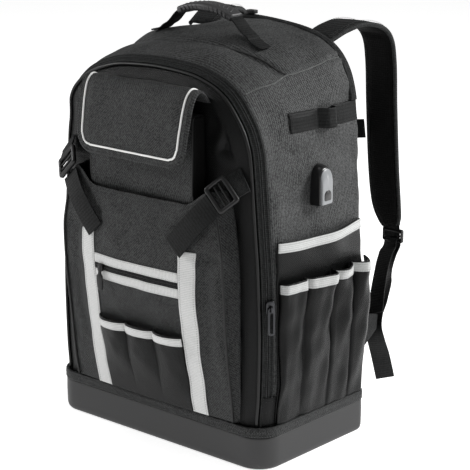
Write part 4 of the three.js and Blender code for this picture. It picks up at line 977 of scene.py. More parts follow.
for side, sign in (("right", 1), ("left", -1)):
    zs = np.linspace(56.2, 268, 110)
    us = np.linspace(-1, 1, 25)
    mid_x = sign * follow(TAPE_LINE, zs)[:, :1]
    lift = 0.15 + TAPE + tape_profile(us)
    p = on_pocket(mid_x + us * 12, zs[:, None] + 0 * us, lift[None] + 0 * zs[:, None])
    cloth("front_tape_cloth_" + side, p, TAPE, LIGHT_TAPE, stands_for=["front_tape_" + side])
    lines = [on_pocket(mid_x[:, 0] + u * 12, zs, TAPE + 0.05) for u in (-0.8, 0.8)]
    beads("front_tape_stitches_" + side, lines, [(0, -1, 0)] * 2, 3.0, (2.2, 0.6, 0.5), THREAD_GREY)
for name, z0, z1 in (("upper", ZIP_MID + 4.2, ZIP_MID + 16), ("lower", ZIP_MID - 16, ZIP_MID - 4.2)):
    xs, us = np.linspace(-70.5, 70.5, 90), np.linspace(-1, 1, 19)
    zs = (z0 + z1) / 2 + us * (z1 - z0) / 2
    lift = 0.15 + TAPE + tape_profile(us)[None] + 0 * xs[:, None]
    p = on_pocket(xs[:, None] + 0 * us, zs[None] + 0 * xs[:, None], lift)
    cloth("zip_tape_cloth_" + name, p, TAPE, LIGHT_TAPE, stands_for=["zip_tape_" + name])
    lines = [on_pocket(xs, np.full(90, (z0 + z1) / 2 + u * (z1 - z0) / 2), TAPE + 0.05) for u in (-0.8, 0.8)]
    beads("zip_tape_stitches_" + name, lines, [(0, -1, 0)] * 2, 3.0, (2.2, 0.6, 0.5), THREAD_GREY)
xs, us = np.linspace(-71, 71, 90), np.linspace(-4.1, 4.1, 25)
zip_rise = 0.9 - 1.2 * hump(us / 0.8) + 0.4 * hump((np.abs(us) - 1.3) / 0.8)
p = on_pocket(xs[:, None] + 0 * us, ZIP_MID + us[None] + 0 * xs[:, None], zip_rise[None] + 0 * xs[:, None])
cloth("pocket_zip_cloth", p, 0.8, STRAP_CLOTH, stands_for=["pocket_zip"])
coil_line = on_pocket(xs, np.full(90, float(ZIP_MID)), 0.3)
beads("pocket_zip_coil", [coil_line], [(0, -1, 0)], 1.8, (1.4, 2.4, 1.3), ZIP_COIL)
pull_y = FRONT_Y - stand(-56, ZIP_MID) - 5.4
line = smooth_line([(-56, pull_y - 0.2, ZIP_MID + 2), (-56, pull_y - 0.6, ZIP_MID - 6),
                    (-56.4, pull_y - 0.4, ZIP_MID - 18), (-56.2, pull_y + 0.4, ZIP_MID - 29)], 26)
PULL_WIDTH = [[0, 4.6], [0.3, 5], [0.42, 10], [0.85, 9.6], [1, 6.5]]
tag = np.stack([flat_section(w, 1.6 + w * 0.12) for w in follow(PULL_WIDTH, np.linspace(0, 1, 26))[:, 0]])
strip("pocket_zip_pull_cord", line, (1, 0, 0), tag, ZIP_BLACK, stands_for=["pocket_zip_pull"])

# %% [markdown]
# Tool loops are one strip of cloth, longer than what it is sewn to, so that it stands out in pleats between the seams.
# A light trim binds it a little below its upper edge.
# %% Front tool loops
LOOP_TOP, LOOP_BULGE = 158, 11


def loop_point(u, z, lift):
    x = u * (follow(TAPE_LINE, z)[..., 0] - 12.6)
    wave = np.abs(np.sin((u + 1) / 2 * 3 * math.pi)) ** 0.62
    open_ = np.clip((z - BAND_TOP - 6) / (LOOP_TOP - BAND_TOP - 6), 0, 1) ** 1.3
    p = np.stack([x, 0 * x, z], -1)
    soft = (ripple(p, 31, 24) * 0.7 + 0.5) * open_
    return on_pocket(x, z, lift + LOOP_BULGE * wave * open_ + soft * wave)


us, zs = np.linspace(-1, 1, 181), np.linspace(56.4, LOOP_TOP, 44)
p = loop_point(us[None] + 0 * zs[:, None], zs[:, None] + 0 * us[None], GAP + THIN)
cloth("front_tool_loops_cloth", p, THIN, COATED, stands_for=["front_tool_loops"])
trim = np.linspace(-1, 1, 15)
zt = LOOP_TOP - 7.6 + trim * 4.9
lift = GAP + THIN + TAPE + 0.1 + tape_profile(trim)[:, None]
p = loop_point(us[None] + 0 * zt[:, None], zt[:, None] + 0 * us[None], lift)
cloth("front_loop_trim_tape", p, TAPE, LIGHT_TAPE, stands_for=["front_loop_trim"])
lines = [loop_point(us, np.full(181, LOOP_TOP - 7.6 + t * 4.9), GAP + THIN + TAPE) for t in (-0.78, 0.78)]
beads("front_loop_stitches", lines, [(0, -1, 0)] * 2, 3.0, (2.2, 0.6, 0.5), THREAD_GREY)
print("front loops done")

# %% [markdown]
# The upper pocket is a box of cloth. It is lofted from rounded rectangles, and its walls bow between its corners.
# %% Upper pocket
UPPER = [[316, 84, 21], [330, 87, 24.6], [348, 89, 25.6], [400, 89, 26], [424, 88.4, 24.5], [430, 87, 22]]


def rounded(a, b, r, steps=8):
    out = []
    for sx, sy, start in ((1, 1, 0), (-1, 1, 90), (-1, -1, 180), (1, -1, 270)):
        g = np.radians(np.linspace(start, start + 90, steps))
        out.append(np.stack([sx * (a - r) + r * np.cos(g), sy * (b - r) + r * np.sin(g)], 1))
    full = np.concatenate([*out, out[0][:1]])
    run = np.r_[0, np.cumsum(np.linalg.norm(np.diff(full, axis=0), axis=1))]
    extra = np.unique(np.r_[run, np.arange(0, run[-1], 5)])[:-1]
    return np.stack([np.interp(extra, run, full[:, 0]), np.interp(extra, run, full[:, 1])], 1)


rings = []
for z in np.linspace(316, 430, 40):
    half, out = follow(UPPER, z)
    depth = (out - GAP) / 2
    flat = rounded(89, 12, 6)
    ring = np.stack([flat[:, 0] * half / 89, FRONT_Y - GAP - depth + flat[:, 1] * depth / 12, np.full(len(flat), z)], 1)
    soft = ripple(ring, 41, 46) * 1.1
    side_wall = np.clip((np.abs(ring[:, 0]) - 80) / 9, 0, 1)
    ring[:, 0] += np.sign(ring[:, 0]) * side_wall * (soft - 1.2)
    ring[:, 1] -= (1 - side_wall) * (ring[:, 1] < FRONT_Y - 12) * (soft - 1.0)
    rings.append(ring)
box = ringed("upper_pocket_cloth", rings, PACK_CLOTH, stands_for=["upper_pocket"])
# Faces that look sideways get the near-black cloth: painted shade on the pocket's side walls.
box.data.materials.append(SIDE_WALL_SHADE)
for face in box.data.polygons:
    face.material_index = int(abs(face.normal.x) > 0.75)
for side, sign in (("right", 1), ("left", -1)):
    line = np.array([ring[np.argmax(sign * ring[:, 0] - ring[:, 1] * 1.0)] for ring in rings])
    strip("upper_pocket_edge_" + side, line + (sign * 0.2, -0.2, 0), (0, 1, 0), round_section(1.1, 8), PIPING_BLACK,
          slot="body_cloth")

# %% [markdown]
# The flap is padded: cloth, foam and lining, with a wide bound edge and a light piping along it. It comes out of the
# front panel, rolls over the pocket and hangs down. Its outer and inner faces are two grids over the same pattern, so
# that the foam can be full in the middle and thin at the edge.
# %% Flap
FLAP = [(0, -98.85, 449), (0, -105, 457), (0, -112, 462), (0, -119, 463), (0, -126, 457), (0, -132, 444),
        (0, -137, 422), (0, -141, 398), (0, -143, 370)]
flap_line = smooth_line(FLAP, 300)
run = lengths(flap_line[:, None], 0)[:, 0]
steps = np.r_[np.linspace(0, run[-1] - 26, 44)[:-1], run[-1] - 26 * np.cos(np.linspace(0, math.pi / 2, 16))]
steps = np.unique(np.clip(steps, 0, run[-1]))
flap_at = np.stack([np.interp(steps, run, flap_line[:, c]) for c in range(3)], 1)
flap_way = unit(np.gradient(flap_at, axis=0))
flap_out = np.stack([0 * steps, flap_way[:, 2], -flap_way[:, 1]], 1)
us = np.sin(np.linspace(-1, 1, 81) * 1.45) / math.sin(1.45)
low = np.clip(1 - (run[-1] - steps) / 24, 0, 0.985)
half = np.interp(steps, [0, run[-1]], [95, 89]) - 24 * (1 - np.sqrt(1 - low**2))
wide = np.interp(steps, [0, run[-1]], [95, 89])
x = us[None] * half[:, None]
edge = np.minimum((half[:, None] - np.abs(x)), (run[-1] - steps)[:, None] + 0.0 * x)
corner = np.hypot(np.maximum(np.abs(x) - (wide[:, None] - 24), 0), np.maximum(24 - (run[-1] - steps)[:, None], 0))
edge = np.minimum(edge, 24 - corner)
spot = np.stack([x, np.broadcast_to(flap_at[:, 1:2], x.shape), np.broadcast_to(flap_at[:, 2:], x.shape)], -1)
full = 1.5 * ease((edge - 11) / 16) - 1.1 * np.exp(-((edge - 10.5) / 1.3) ** 2) - 2.0 * (1 - ease(edge / 3)) ** 2
full = full + ripple(spot, 51, 58) * 0.7 * ease((edge - 8) / 14) + ripple(spot, 52, 22) * 0.25
for at in (36, 43, 51):
    bent = steps[:, None] - at - 2.5 * np.sin(x / 26 + at)
    full = full - 0.7 * np.exp(-(bent / 1.7) ** 2) * ease((edge - 12) / 12) * ease((x + 60 - at) / 40)
face = spot + flap_out[:, None] * full[..., None]
lining = spot - flap_out[:, None] * (4.2 - 1.2 * (1 - ease(edge / 3)))[..., None]
flap = cloth("flap_padded", face, 5, PACK_CLOTH, inner=lining, stands_for=["flap"])
flap_tree = surface_of(face)


def round_flap(inset, lift, count=260):
    """Line on the flap that runs down one side, round its foot and up the other, inset from the edge."""
    reach, r = run[-1] - inset, 24 - inset
    out = [(np.interp(s, [0, run[-1]], [95, 89]) - inset, s) for s in np.linspace(13, reach - r, 60)]
    end_half = np.interp(reach, [0, run[-1]], [95, 89]) - inset
    for g in np.radians(np.linspace(6, 90, 14)):
        out.append((end_half - r + r * math.cos(g), reach - r + r * math.sin(g)))
    out = out + [(-a, b) for a, b in out[::-1]]
    flat = evenly(out, count)
    start = np.stack([flat[:, 0], *[np.interp(flat[:, 1], run, flap_line[:, c]) for c in (1, 2)]], 1)
    way = np.stack([0 * flat[:, 0], *[np.interp(flat[:, 1], steps, flap_out[:, c]) for c in (1, 2)]], 1)
    hits = np.array([flap_tree.find_nearest(Vector(p))[0] for p in start])
    return hits + unit(way) * lift, unit(way)


pipe, pipe_up = round_flap(10.5, 0.9)
strip("flap_piping_cord", pipe, pipe_up, round_section(1.25, 10), PIPING_WHITE, stands_for=["flap_piping"])
line, line_up = round_flap(2.6, 0.1)
beads("flap_edge_stitches", [line], [line_up], 3.4, (2.6, 0.7, 0.6), THREAD)
print("flap:", len(flap.data.polygons), "faces")

# %% [markdown]
# Polyester webbing is woven narrow and thick, with rolled edges. Straps follow a smooth line through their fixed points,
# and their width may turn about it. Each one is a section swept along that line.
# %% Compression straps
STRAP_UP = [(66, 38, 271), (81, 38, 288), (97, 36.4, 306), (109, 32.4, 319), (121, 26.2, 332.1)]
LOCK_UP = {"right": (22.4, 0.47), "left": (21.5, 0.55)}


def front_line(rows, sign, count=60):
    return smooth_line([(sign * x, FRONT_Y - out, z) for x, out, z in rows], count)


def looped(name, mid, side, along, outer_half, inner_half, thick, finish, node, corner=(4, 2), body=BAG):
    """A flat frame round its slot, with eased edges: buckles and locks."""
    side, along = unit(np.array(side, float)), np.array(along, float)
    along = unit(along - side * (along @ side))
    up = np.cross(side, along)

    def ring(half, r, d):
        out = []
        for sx, sy, start in ((1, 1, 0), (-1, 1, 90), (-1, -1, 180), (1, -1, 270)):
            for g in np.radians(np.linspace(start, start + 90, 7)):
                out.append(mid + side * (sx * (half[0] - r) + r * math.cos(g)) + along * (sy * (half[1] - r)
                           + r * math.sin(g)) + up * d)
        return out

    h, e = thick / 2, min(1.1, thick / 4)
    section = [(outer_half, -e, -h), (outer_half, 0, -h + e), (outer_half, 0, h - e), (outer_half, -e, h),
               (inner_half, e, h), (inner_half, 0, h - e), (inner_half, 0, -h + e), (inner_half, e, -h)]
    rings = []
    for half, d, level in section:
        outside = half is outer_half
        rings.append(ring((half[0] + d, half[1] + d), max((corner[0] if outside else corner[1]) + d, 0.6), level))
    return ringed(name, rings, finish, wrap=True, stands_for=[node] if node else (), slot="buckle_plastic", body=body)


for side, sign in (("right", 1), ("left", -1)):
    line = front_line(STRAP_UP, sign)
    strip("compression_webbing_" + side, line, (sign, 0, -1), flat_section(30, WEB), WEBBING,
          stands_for=["compression_strap_" + side])
    out, back = LOCK_UP[side]
    mid = np.array([sign * 131, FRONT_Y - out, 345.0])
    along = unit(np.array([sign * 0.66, back, 0.62]))
    over = np.array([sign, 0, -1.0])
    looped("compression_buckle_moulded_" + side, mid, over, along, (19, 15), (14.5, 9.5), 5.6, BUCKLE,
           "compression_buckle_" + side, (4, 2))
    flat = unit(over - along * (along @ over))
    for step, r in ((-3.2, 1.5), (3.6, 1.5)):
        bar = [mid + along * step + flat * w for w in np.linspace(-15, 15, 9)]
        strip("compression_bar_%s_%s" % ("low" if step < 0 else "high", side), np.array(bar), along, round_section(r, 10),
              BUCKLE, slot="buckle_plastic")
    tab = front_line([(137, 16.5, 350.5), (141, 12.6, 354.8), (146, 4.9, 360), (149.5, 1.6, 362.4)], sign, 24)
    strip("compression_tab_" + side, tab, (sign, 0, -1), flat_section(31, 2.2), STRAP_CLOTH,
          stands_for=["compression_anchor_" + side])
print("compression straps done")

# %% [markdown]
# The side pocket is a flat patch that stands open at its upper edge. Over it lies a row of four tool loops, cut from
# one strip and pleated, so each loop is full at its front and falls back to the next seam.
# %% Side pockets and side loops
SIDE_FROM, SIDE_TO = FRONT_Y + FRONT_RIM - 4, REAR_Y - REAR_RIM + 3
SIDE_LOOPS = [(SIDE_FROM, 11), (-31, 15), (20, 14), (62, 13), (SIDE_TO + 6, 0)]
LOOP_SHAPE = [[0, 0], [0.06, 0.55], [0.16, 0.84], [0.38, 0.98], [0.62, 1], [0.84, 0.82], [0.95, 0.4], [1, 0]]
SIDE_LOOP_TOP = 234


def side_edge(y):
    u = (y - SIDE_FROM) / (SIDE_TO - SIDE_FROM)
    return 283 - 1 * u - 3.5 * np.sin(math.pi * np.clip(u, 0, 1))


def pouch(y, k):
    u = np.clip((y - SIDE_FROM) / (SIDE_TO - SIDE_FROM), 0, 1)
    return 8 * np.sin(math.pi * u) ** 0.8 * np.clip((k - 0.15) / 0.85, 0, 1) ** 1.5


def on_side_pocket(y, z, lift):
    k = (z - BAND_TOP) / (side_edge(y) - BAND_TOP)
    return np.stack([side_x(y, z) + pouch(y, k) + lift, y, z], -1)


def on_side_loops(y, z, lift):
    starts = np.array([row[0] for row in SIDE_LOOPS])
    i = np.clip(np.searchsorted(starts, y, side="right") - 1, 0, 3)
    u = (y - starts[i]) / (starts[i + 1] - starts[i])
    full = np.array([11, 15, 14, 13])[i] * follow(LOOP_SHAPE, u)[..., 0]
    open_ = np.clip((z - BAND_TOP - 4) / (SIDE_LOOP_TOP - BAND_TOP - 4), 0, 1)
    inside = np.minimum(y, SIDE_TO)
    k = (z - BAND_TOP) / (side_edge(inside) - BAND_TOP)
    p = np.stack([0 * y, y, z], -1)
    soft = (ripple(p * (1, 1, 0.35), 61, 21) * 3.2) * np.clip(full / 8, 0, 1) * (0.3 + 0.7 * open_)
    x = side_x(y, z) - np.maximum(0, y - SIDE_TO) * 0.35 + pouch(inside, k) + full * (0.12 + 0.88 * open_) + soft
    return np.stack([x + lift, y, z], -1)


LOOP_BASE = 3.85
ys = np.linspace(SIDE_FROM, SIDE_TO, 74)
ks = np.linspace(0, 1, 56)
pocket_z = BAND_TOP + 0.8 + (side_edge(ys)[None] - BAND_TOP - 0.8) * ks[:, None]
pocket_p = on_side_pocket(ys[None] + 0 * pocket_z, pocket_z, GAP + THIN)
trim_s = np.linspace(-1, 1, 15)
trim_z = side_edge(ys)[None] - 5.5 + trim_s[:, None] * 5.5
trim_p = on_side_pocket(ys[None] + 0 * trim_z, trim_z, 3 * GAP + THIN + TAPE + tape_profile(trim_s)[:, None])
spans = zip(SIDE_LOOPS, SIDE_LOOPS[1:])
loop_y = np.unique(np.concatenate([a + (b - a) * np.linspace(0, 1, 41) for (a, _), (b, _) in spans]))
loop_z = np.linspace(BAND_TOP + 1, SIDE_LOOP_TOP, 52)
loop_p = on_side_loops(loop_y[None] + 0 * loop_z[:, None], loop_z[:, None] + 0 * loop_y[None], LOOP_BASE + THIN - 0.4)
ltrim_z = SIDE_LOOP_TOP - 6.6 + trim_s * 5.4
ltrim_p = on_side_loops(loop_y[None] + 0 * ltrim_z[:, None], ltrim_z[:, None] + 0 * loop_y[None],
                        LOOP_BASE + THIN + TAPE + tape_profile(trim_s)[:, None])
for side, sign in (("right", 1), ("left", -1)):
    turn, out = np.array([sign, 1, 1]), (sign, 0, 0)
    cloth("side_pocket_cloth_" + side, pocket_p * turn, THIN, COATED, out=out, stands_for=["side_pocket_" + side])
    cloth("side_pocket_trim_tape_" + side, trim_p * turn, TAPE, SIDE_TAPE_PAINTED_SHADE, out=out,
          stands_for=["side_pocket_trim_" + side])
    cloth("side_loops_cloth_" + side, loop_p * turn, THIN, COATED, out=out, stands_for=["side_loops_" + side])
    cloth("side_loop_trim_tape_" + side, ltrim_p * turn, TAPE, SIDE_TAPE_PAINTED_SHADE, out=out,
          stands_for=["side_loop_trim_" + side])
    lines = [trim_p[2] * turn + (sign * 0.1, 0, 0), trim_p[-3] * turn + (sign * 0.1, 0, 0),
             ltrim_p[2] * turn + (sign * 0.1, 0, 0), ltrim_p[-3] * turn + (sign * 0.1, 0, 0)]
    beads("side_trim_stitches_" + side, lines, [out] * 4, 3.0, (2.2, 0.6, 0.5), THREAD_GREY)
print("side pockets done")

# %% [markdown]
# Webbing high on the side holds a tape measure or a lamp: flat, sewn down at its seams, and raised in one loop.
# %% Side webbing
SIDE_WEB = [[-31, 0.5], [15, 0.5], [20, 6], [26, 11], [34, 12], [41, 7], [44, 0.5], [66, 0.5], [SIDE_TO, 0.5]]
web_y = np.linspace(-31, SIDE_TO, 140)
web_z = np.linspace(408, 431, 13)
grid_y, grid_z = web_y[None] + 0 * web_z[:, None], web_z[:, None] + 0 * web_y[None]
web_p = np.stack([side_x(grid_y, grid_z) + follow(SIDE_WEB, grid_y)[..., 0] + WEB, grid_y, grid_z], -1)
for side, sign in (("right", 1), ("left", -1)):
    cloth("side_webbing_woven_" + side, web_p * (sign, 1, 1), WEB, WEBBING, out=(sign, 0, 0),
          stands_for=["side_webbing_" + side])
    lines = []
    for y in (-28, 12, 48, 62):
        y, z = np.full(12, float(y)), np.linspace(410, 429, 12)
        lines.append(np.stack([side_x(y, z) + 0.5 + WEB + 0.1, y, z], 1) * (sign, 1, 1))
    beads("side_webbing_stitches_" + side, lines, [(sign, 0, 0)] * 4, 2.4, (1.9, 0.7, 0.6), THREAD)

# %% [markdown]
# The socket housing is moulded in two parts: a black body that is sewn into the side, and a painted cover. The cover is
# bare, with a recessed lower panel where the socket lid sits.
# %% Socket housing
PORT_X = float(side_x(np.array([10.0]), np.array([336.0]))[0])


def arched(half, low, high, top_r=10.0, foot_r=2.5):
    """Outline of the housing: round at the top, nearly square at the foot."""
    out = []
    for sy, end, start, r in ((1, high, 0, min(top_r, half)), (-1, high, 90, min(top_r, half)), (-1, low, 180, foot_r),
                              (1, low, 270, foot_r)):
        g = np.radians(np.linspace(start, start + 90, 12))
        centre = end - r if end == high else end + r
        out.append(np.stack([sy * (half - r) + r * np.cos(g), centre + r * np.sin(g)], 1))
    return np.concatenate(out)


def port_loft(name, table, count, finish, **rest):
    rings = []
    for k in np.linspace(0, 1, count):
        off, half, low, high = follow(table, k)
        flat = arched(half, low, high)
        rings.append(np.stack([np.full(len(flat), PORT_X + off), 10 + flat[:, 0], flat[:, 1]], 1))
    return ringed(name, rings, finish, **rest)


port_loft("usb_port_body", [[0, -2.5, 11.6, 315, 366], [0.6, 8, 11.2, 315.5, 364.5], [0.9, 13.2, 10.8, 316.5, 361],
                            [1, 13.6, 9.5, 318, 359]], 16, HOUSING_DARK, stands_for=["usb_port"])
port_loft("usb_port_cover", [[0, 13.0, 9.6, 318, 360], [0.15, 13.8, 10.2, 317, 361], [0.6, 16.0, 10.0, 317.3, 355],
                             [0.85, 16.8, 9.0, 318.6, 350], [1, 17, 7.4, 320.5, 345]], 18, HOUSING,
          slot="housing_plastic")
port_loft("usb_port_lid", [[0, 16.4, 6.6, 322, 335], [0.7, 17.3, 6.6, 322, 335], [1, 17.6, 6.0, 322.6, 334.4]], 6,
          HOUSING_DARK, slot="housing_plastic")

# %% [markdown]
# The handle is a grip of soft rubber moulded over webbing. Slanted ribs keep the hand from sliding. The webbing leaves
# the grip at both ends and is sewn to the top with a box of stitches.
# %% Handle
GRIP = smooth_line([(-42, 2, 533), (-22, 2, 538.5), (0, 2, 540.5), (25, 2, 538), (46, 2, 531)], 70)
span_ = np.linspace(-1, 1, 70)
swell = 1 - 0.16 * np.abs(span_) ** 6 + 0.03 * np.cos(span_ * 5)
section = rounded(5.3, 13.4, 4.6, 7)
grip_rings = np.stack([np.stack([section[:, 1] * s, section[:, 0] * s], 1) for s in swell])
strip("handle_grip_rubber", GRIP, (0, 1, 0), grip_rings, GRIP_RUBBER, stands_for=["handle_grip"])
rib_line = GRIP[6:-6] + (0, 0, 5.2)
beads("handle_grip_ribs", [rib_line], [(0, 0, 1)], 6.4, (2.9, 21, 2.4), GRIP_RUBBER, turn=(0, 0, 28))
for z_off, y_off, name in ((0, -13.2, "front"), (0, 13.2, "rear")):
    beads("handle_grip_side_ribs_" + name, [GRIP[6:-6] + (0, y_off, z_off)], [(0, math.copysign(1, y_off), 0)], 6.4,
          (2.6, 7.5, 1.6), GRIP_RUBBER, turn=(0, 0, 28))


def top_z(x, y):
    row = arch(y, np.linspace(8, 18, 240))
    order = np.argsort(row[:, 0])
    p = np.stack([x, y, np.interp(x, row[order, 0], row[order, 2])], -1)
    return float(p[2] + body_soft(p[None])[0])


for side, sign, xs in (("right", 1, (46, 55, 64, 72, 79, 96)), ("left", -1, (42, 51, 59, 64.5, 70, 86))):
    end = GRIP[-1] if sign > 0 else GRIP[0]
    line = smooth_line([(end[0] - sign * 4, 2, end[2] + 1.2), (end[0] + sign * 4, 2, end[2] - 3.4),
                        (sign * (xs[1] + 6), 1, 518), (sign * (xs[3] + 1), 0, top_z(sign * (xs[3] + 1), 0) + 6),
                        (sign * (xs[3] + 8), 0, top_z(sign * (xs[3] + 8), 0) + 2.2),
                        (sign * xs[5], 0, top_z(sign * xs[5], 0) + 1.6)], 90)
    strip("handle_webbing_woven_" + side, line, (0, 1, 0), flat_section(22, 2.2), WEBBING,
          stands_for=["handle_webbing_" + side])
    flat = [(xs[3] + 8, -8.5), (xs[5] - 2, -8.5), (xs[5] - 2, 8.5), (xs[3] + 8, 8.5), (xs[3] + 8, -8.5), (xs[5] - 2, 8.5)]
    box = np.array([(sign * a, b, top_z(sign * a, 0) + 2.85) for a, b in flat])
    lines = [np.linspace(box[i], box[i + 1], 8) for i in range(5)]
    beads("handle_box_stitches_" + side, lines, [(0, 0, 1)] * 5, 2.6, (2.0, 0.7, 0.6), THREAD)
print("handle done")

# %% [markdown]
# A padded piece is full because foam pushes its cloth out. That is what a cloth simulation with air pressure does: the
# mesh is remeshed evenly, the pressure works for twenty steps without gravity, and no point may move further than a
# few millimetres. Its flat pattern is laid on again afterwards, because remeshing removes it.
# %% Padding by simulation


def swap_mesh(made):
    mesh = bpy.data.meshes.new_from_object(made.evaluated_get(bpy.context.evaluated_depsgraph_get()))
    made.modifiers.clear()
    made.data = mesh


def coordinates(mesh):
    flat = np.empty(len(mesh.vertices) * 3, np.float32)
    mesh.vertices.foreach_get("co", flat)
    return flat.reshape(-1, 3) / MM


def puffed(made, cap, voxel, hold, shape=None, pattern=(0, 2)):
    """Inflates a padded piece. cap: most that a point moves. hold: keeps points off the neighbours. shape: seams
    pressed in afterwards. pattern: axes of the flat pattern."""
    finishes = list(made.data.materials)
    even = made.modifiers.new("even", "REMESH")
    even.mode, even.voxel_size = "VOXEL", voxel * MM
    swap_mesh(made)
    start = coordinates(made.data)
    air = made.modifiers.new("air", "CLOTH")
    air.settings.use_pressure, air.settings.uniform_pressure_force = True, 4
    air.settings.effector_weights.gravity = 0
    air.point_cache.frame_start, air.point_cache.frame_end = 1, 20
    for step in range(1, 21):
        bpy.context.scene.frame_set(step)
    end = coordinates(made.evaluated_get(bpy.context.evaluated_depsgraph_get()).data)
    made.modifiers.clear()
    bpy.context.scene.frame_set(1)
    move = end - start
    size = np.linalg.norm(move, axis=1, keepdims=True)
    placed = hold(start + move * np.minimum(1, cap / np.maximum(size, 1e-6)))
    made.data.vertices.foreach_set("co", (placed * MM).astype(np.float32).ravel())
    finer = made.modifiers.new("finer", "SUBSURF")
    finer.levels = finer.render_levels = 1
    swap_mesh(made)
    if shape:
        made.data.vertices.foreach_set("co", (shape(coordinates(made.data)) * MM).astype(np.float32).ravel())
    print(made.name, "moved up to %.1f mm" % size.max(), len(made.data.polygons), "faces")
    made.data.materials.clear()
    for finish in finishes:
        made.data.materials.append(finish)
    flat = made.data.uv_layers.new(name="cut")
    corner = np.empty(len(made.data.loops), np.int32)
    made.data.loops.foreach_get("vertex_index", corner)
    flat.data.foreach_set("uv", (coordinates(made.data)[corner][:, list(pattern)] * MM).astype(np.float32).ravel())
    made.data.polygons.foreach_set("use_smooth", [True] * len(made.data.polygons))
    made.data.update()
    return made


# %% [markdown]
# The shoulder strap is foam between an outer cloth and an inner mesh, bound at both edges with tape. The pad is swept
# along its line with a full section, then inflated, and the binding is laid along its edges.
# %% Shoulder straps
SHOULDER = [(97, 2, 499, 46), (102, 26, 509, 48), (109, 52, 514, 48), (116, 78, 508, 48), (120, 94, 492, 48),
            (121, 101, 460, 48), (121, 105, 400, 48), (121, 112, 320, 48), (122, 118, 272, 46), (125, 122, 249, 38),
            (128, 124, 237.6, 26)]


def rear_line(rows, sign, count):
    return smooth_line([(sign * r[0], REAR_Y + r[1], *r[2:]) for r in rows], count)


turn = np.linspace(0, 2 * math.pi, 44, endpoint=False)
PAD_SECTION = np.stack([np.sign(np.cos(turn)) * np.abs(np.cos(turn)) ** 0.7,
                        np.sign(np.sin(turn)) * np.abs(np.sin(turn)) ** 0.62], 1)
for side, sign in (("right", 1), ("left", -1)):
    line = rear_line(SHOULDER, sign, 170)
    wide = line[:, 3] / 2 - 1.6
    _, s, up = frames(line[:, :3], (1, 0, 0))
    section = PAD_SECTION[None] * np.stack([wide, 0 * wide + 4.1], 1)[:, None]
    pad = strip("shoulder_strap_padded_" + side, line[:, :3], (1, 0, 0), section, STRAP_CLOTH,
                stands_for=["shoulder_strap_" + side])
    pad.data.materials.append(MESH_PAD)
    middle_line = line[:, :3]
    puffed(pad, 1.2, 3.6, lambda p: p)
    spots = coordinates(pad.data)
    centres = np.array([spots[list(f.vertices)].mean(0) for f in pad.data.polygons])
    close = np.array([np.argmin(np.sum((middle_line[::3] - c) ** 2, 1)) for c in centres]) * 3
    outward = up * np.sign(up[100, 1])
    depth = np.sum((centres - middle_line[close]) * outward[close], 1)
    pad.data.polygons.foreach_set("material_index", (depth < -1.2).astype(np.int32))
    for edge_sign, name in ((1, "outer"), (-1, "inner")):
        rim_line = line[:, :3] + s * (edge_sign * (line[:, 3:] / 2 - 1.9))
        oval = round_section(1, 14) * (2.5, 3.0)
        strip("shoulder_strap_binding_%s_%s" % (name, side), rim_line, (1, 0, 0), oval, BINDING, slot="padding_cloth")
    rows_ = [line[:, :3] + s * (e * (line[:, 3:] / 2 - 6.2)) + outward * 4.9 for e in (1, -1)]
    beads("shoulder_strap_stitches_" + side, rows_, [outward, outward], 3.6, (2.8, 0.8, 0.7), THREAD)
print("shoulder straps done")

# %% [markdown]
# Below the pad a ladder lock holds narrower webbing. One layer runs down to the tab at the lower edge of the bag, the
# other is its free end, which comes back out of the lock and hangs. Its tip is folded over and sewn.
# %% Lower straps
LOWER_STRAP = [(127, 124.5, 222, 25, -12), (128, 120, 211, 25, -20), (131, 108, 203, 25, -20), (138, 90, 188, 25, -20),
               (146, 72, 166, 25, -15), (156.5, 53, 139.3, 25, -10)]
TAIL = [(129.4, 129.2, 220, 25, -14), (130.4, 127.8, 211, 25, -20), (133, 118, 200, 25, -28), (137, 108, 186, 25, -36),
        (140, 101, 168, 25, -38), (146, 82, 149, 25, -34), (150, 64, 134, 25, -20), (153, 56, 120, 25, 0),
        (152, 62, 100, 25, 20), (148, 78, 72, 25, 35), (145, 94, 36, 25, 41)]


def headed(rows, sign, count):
    line = rear_line(rows, sign, count)
    g = np.radians(line[:, 4])
    return line[:, :3], np.stack([np.cos(g) * sign, np.sin(g), 0 * g], 1)


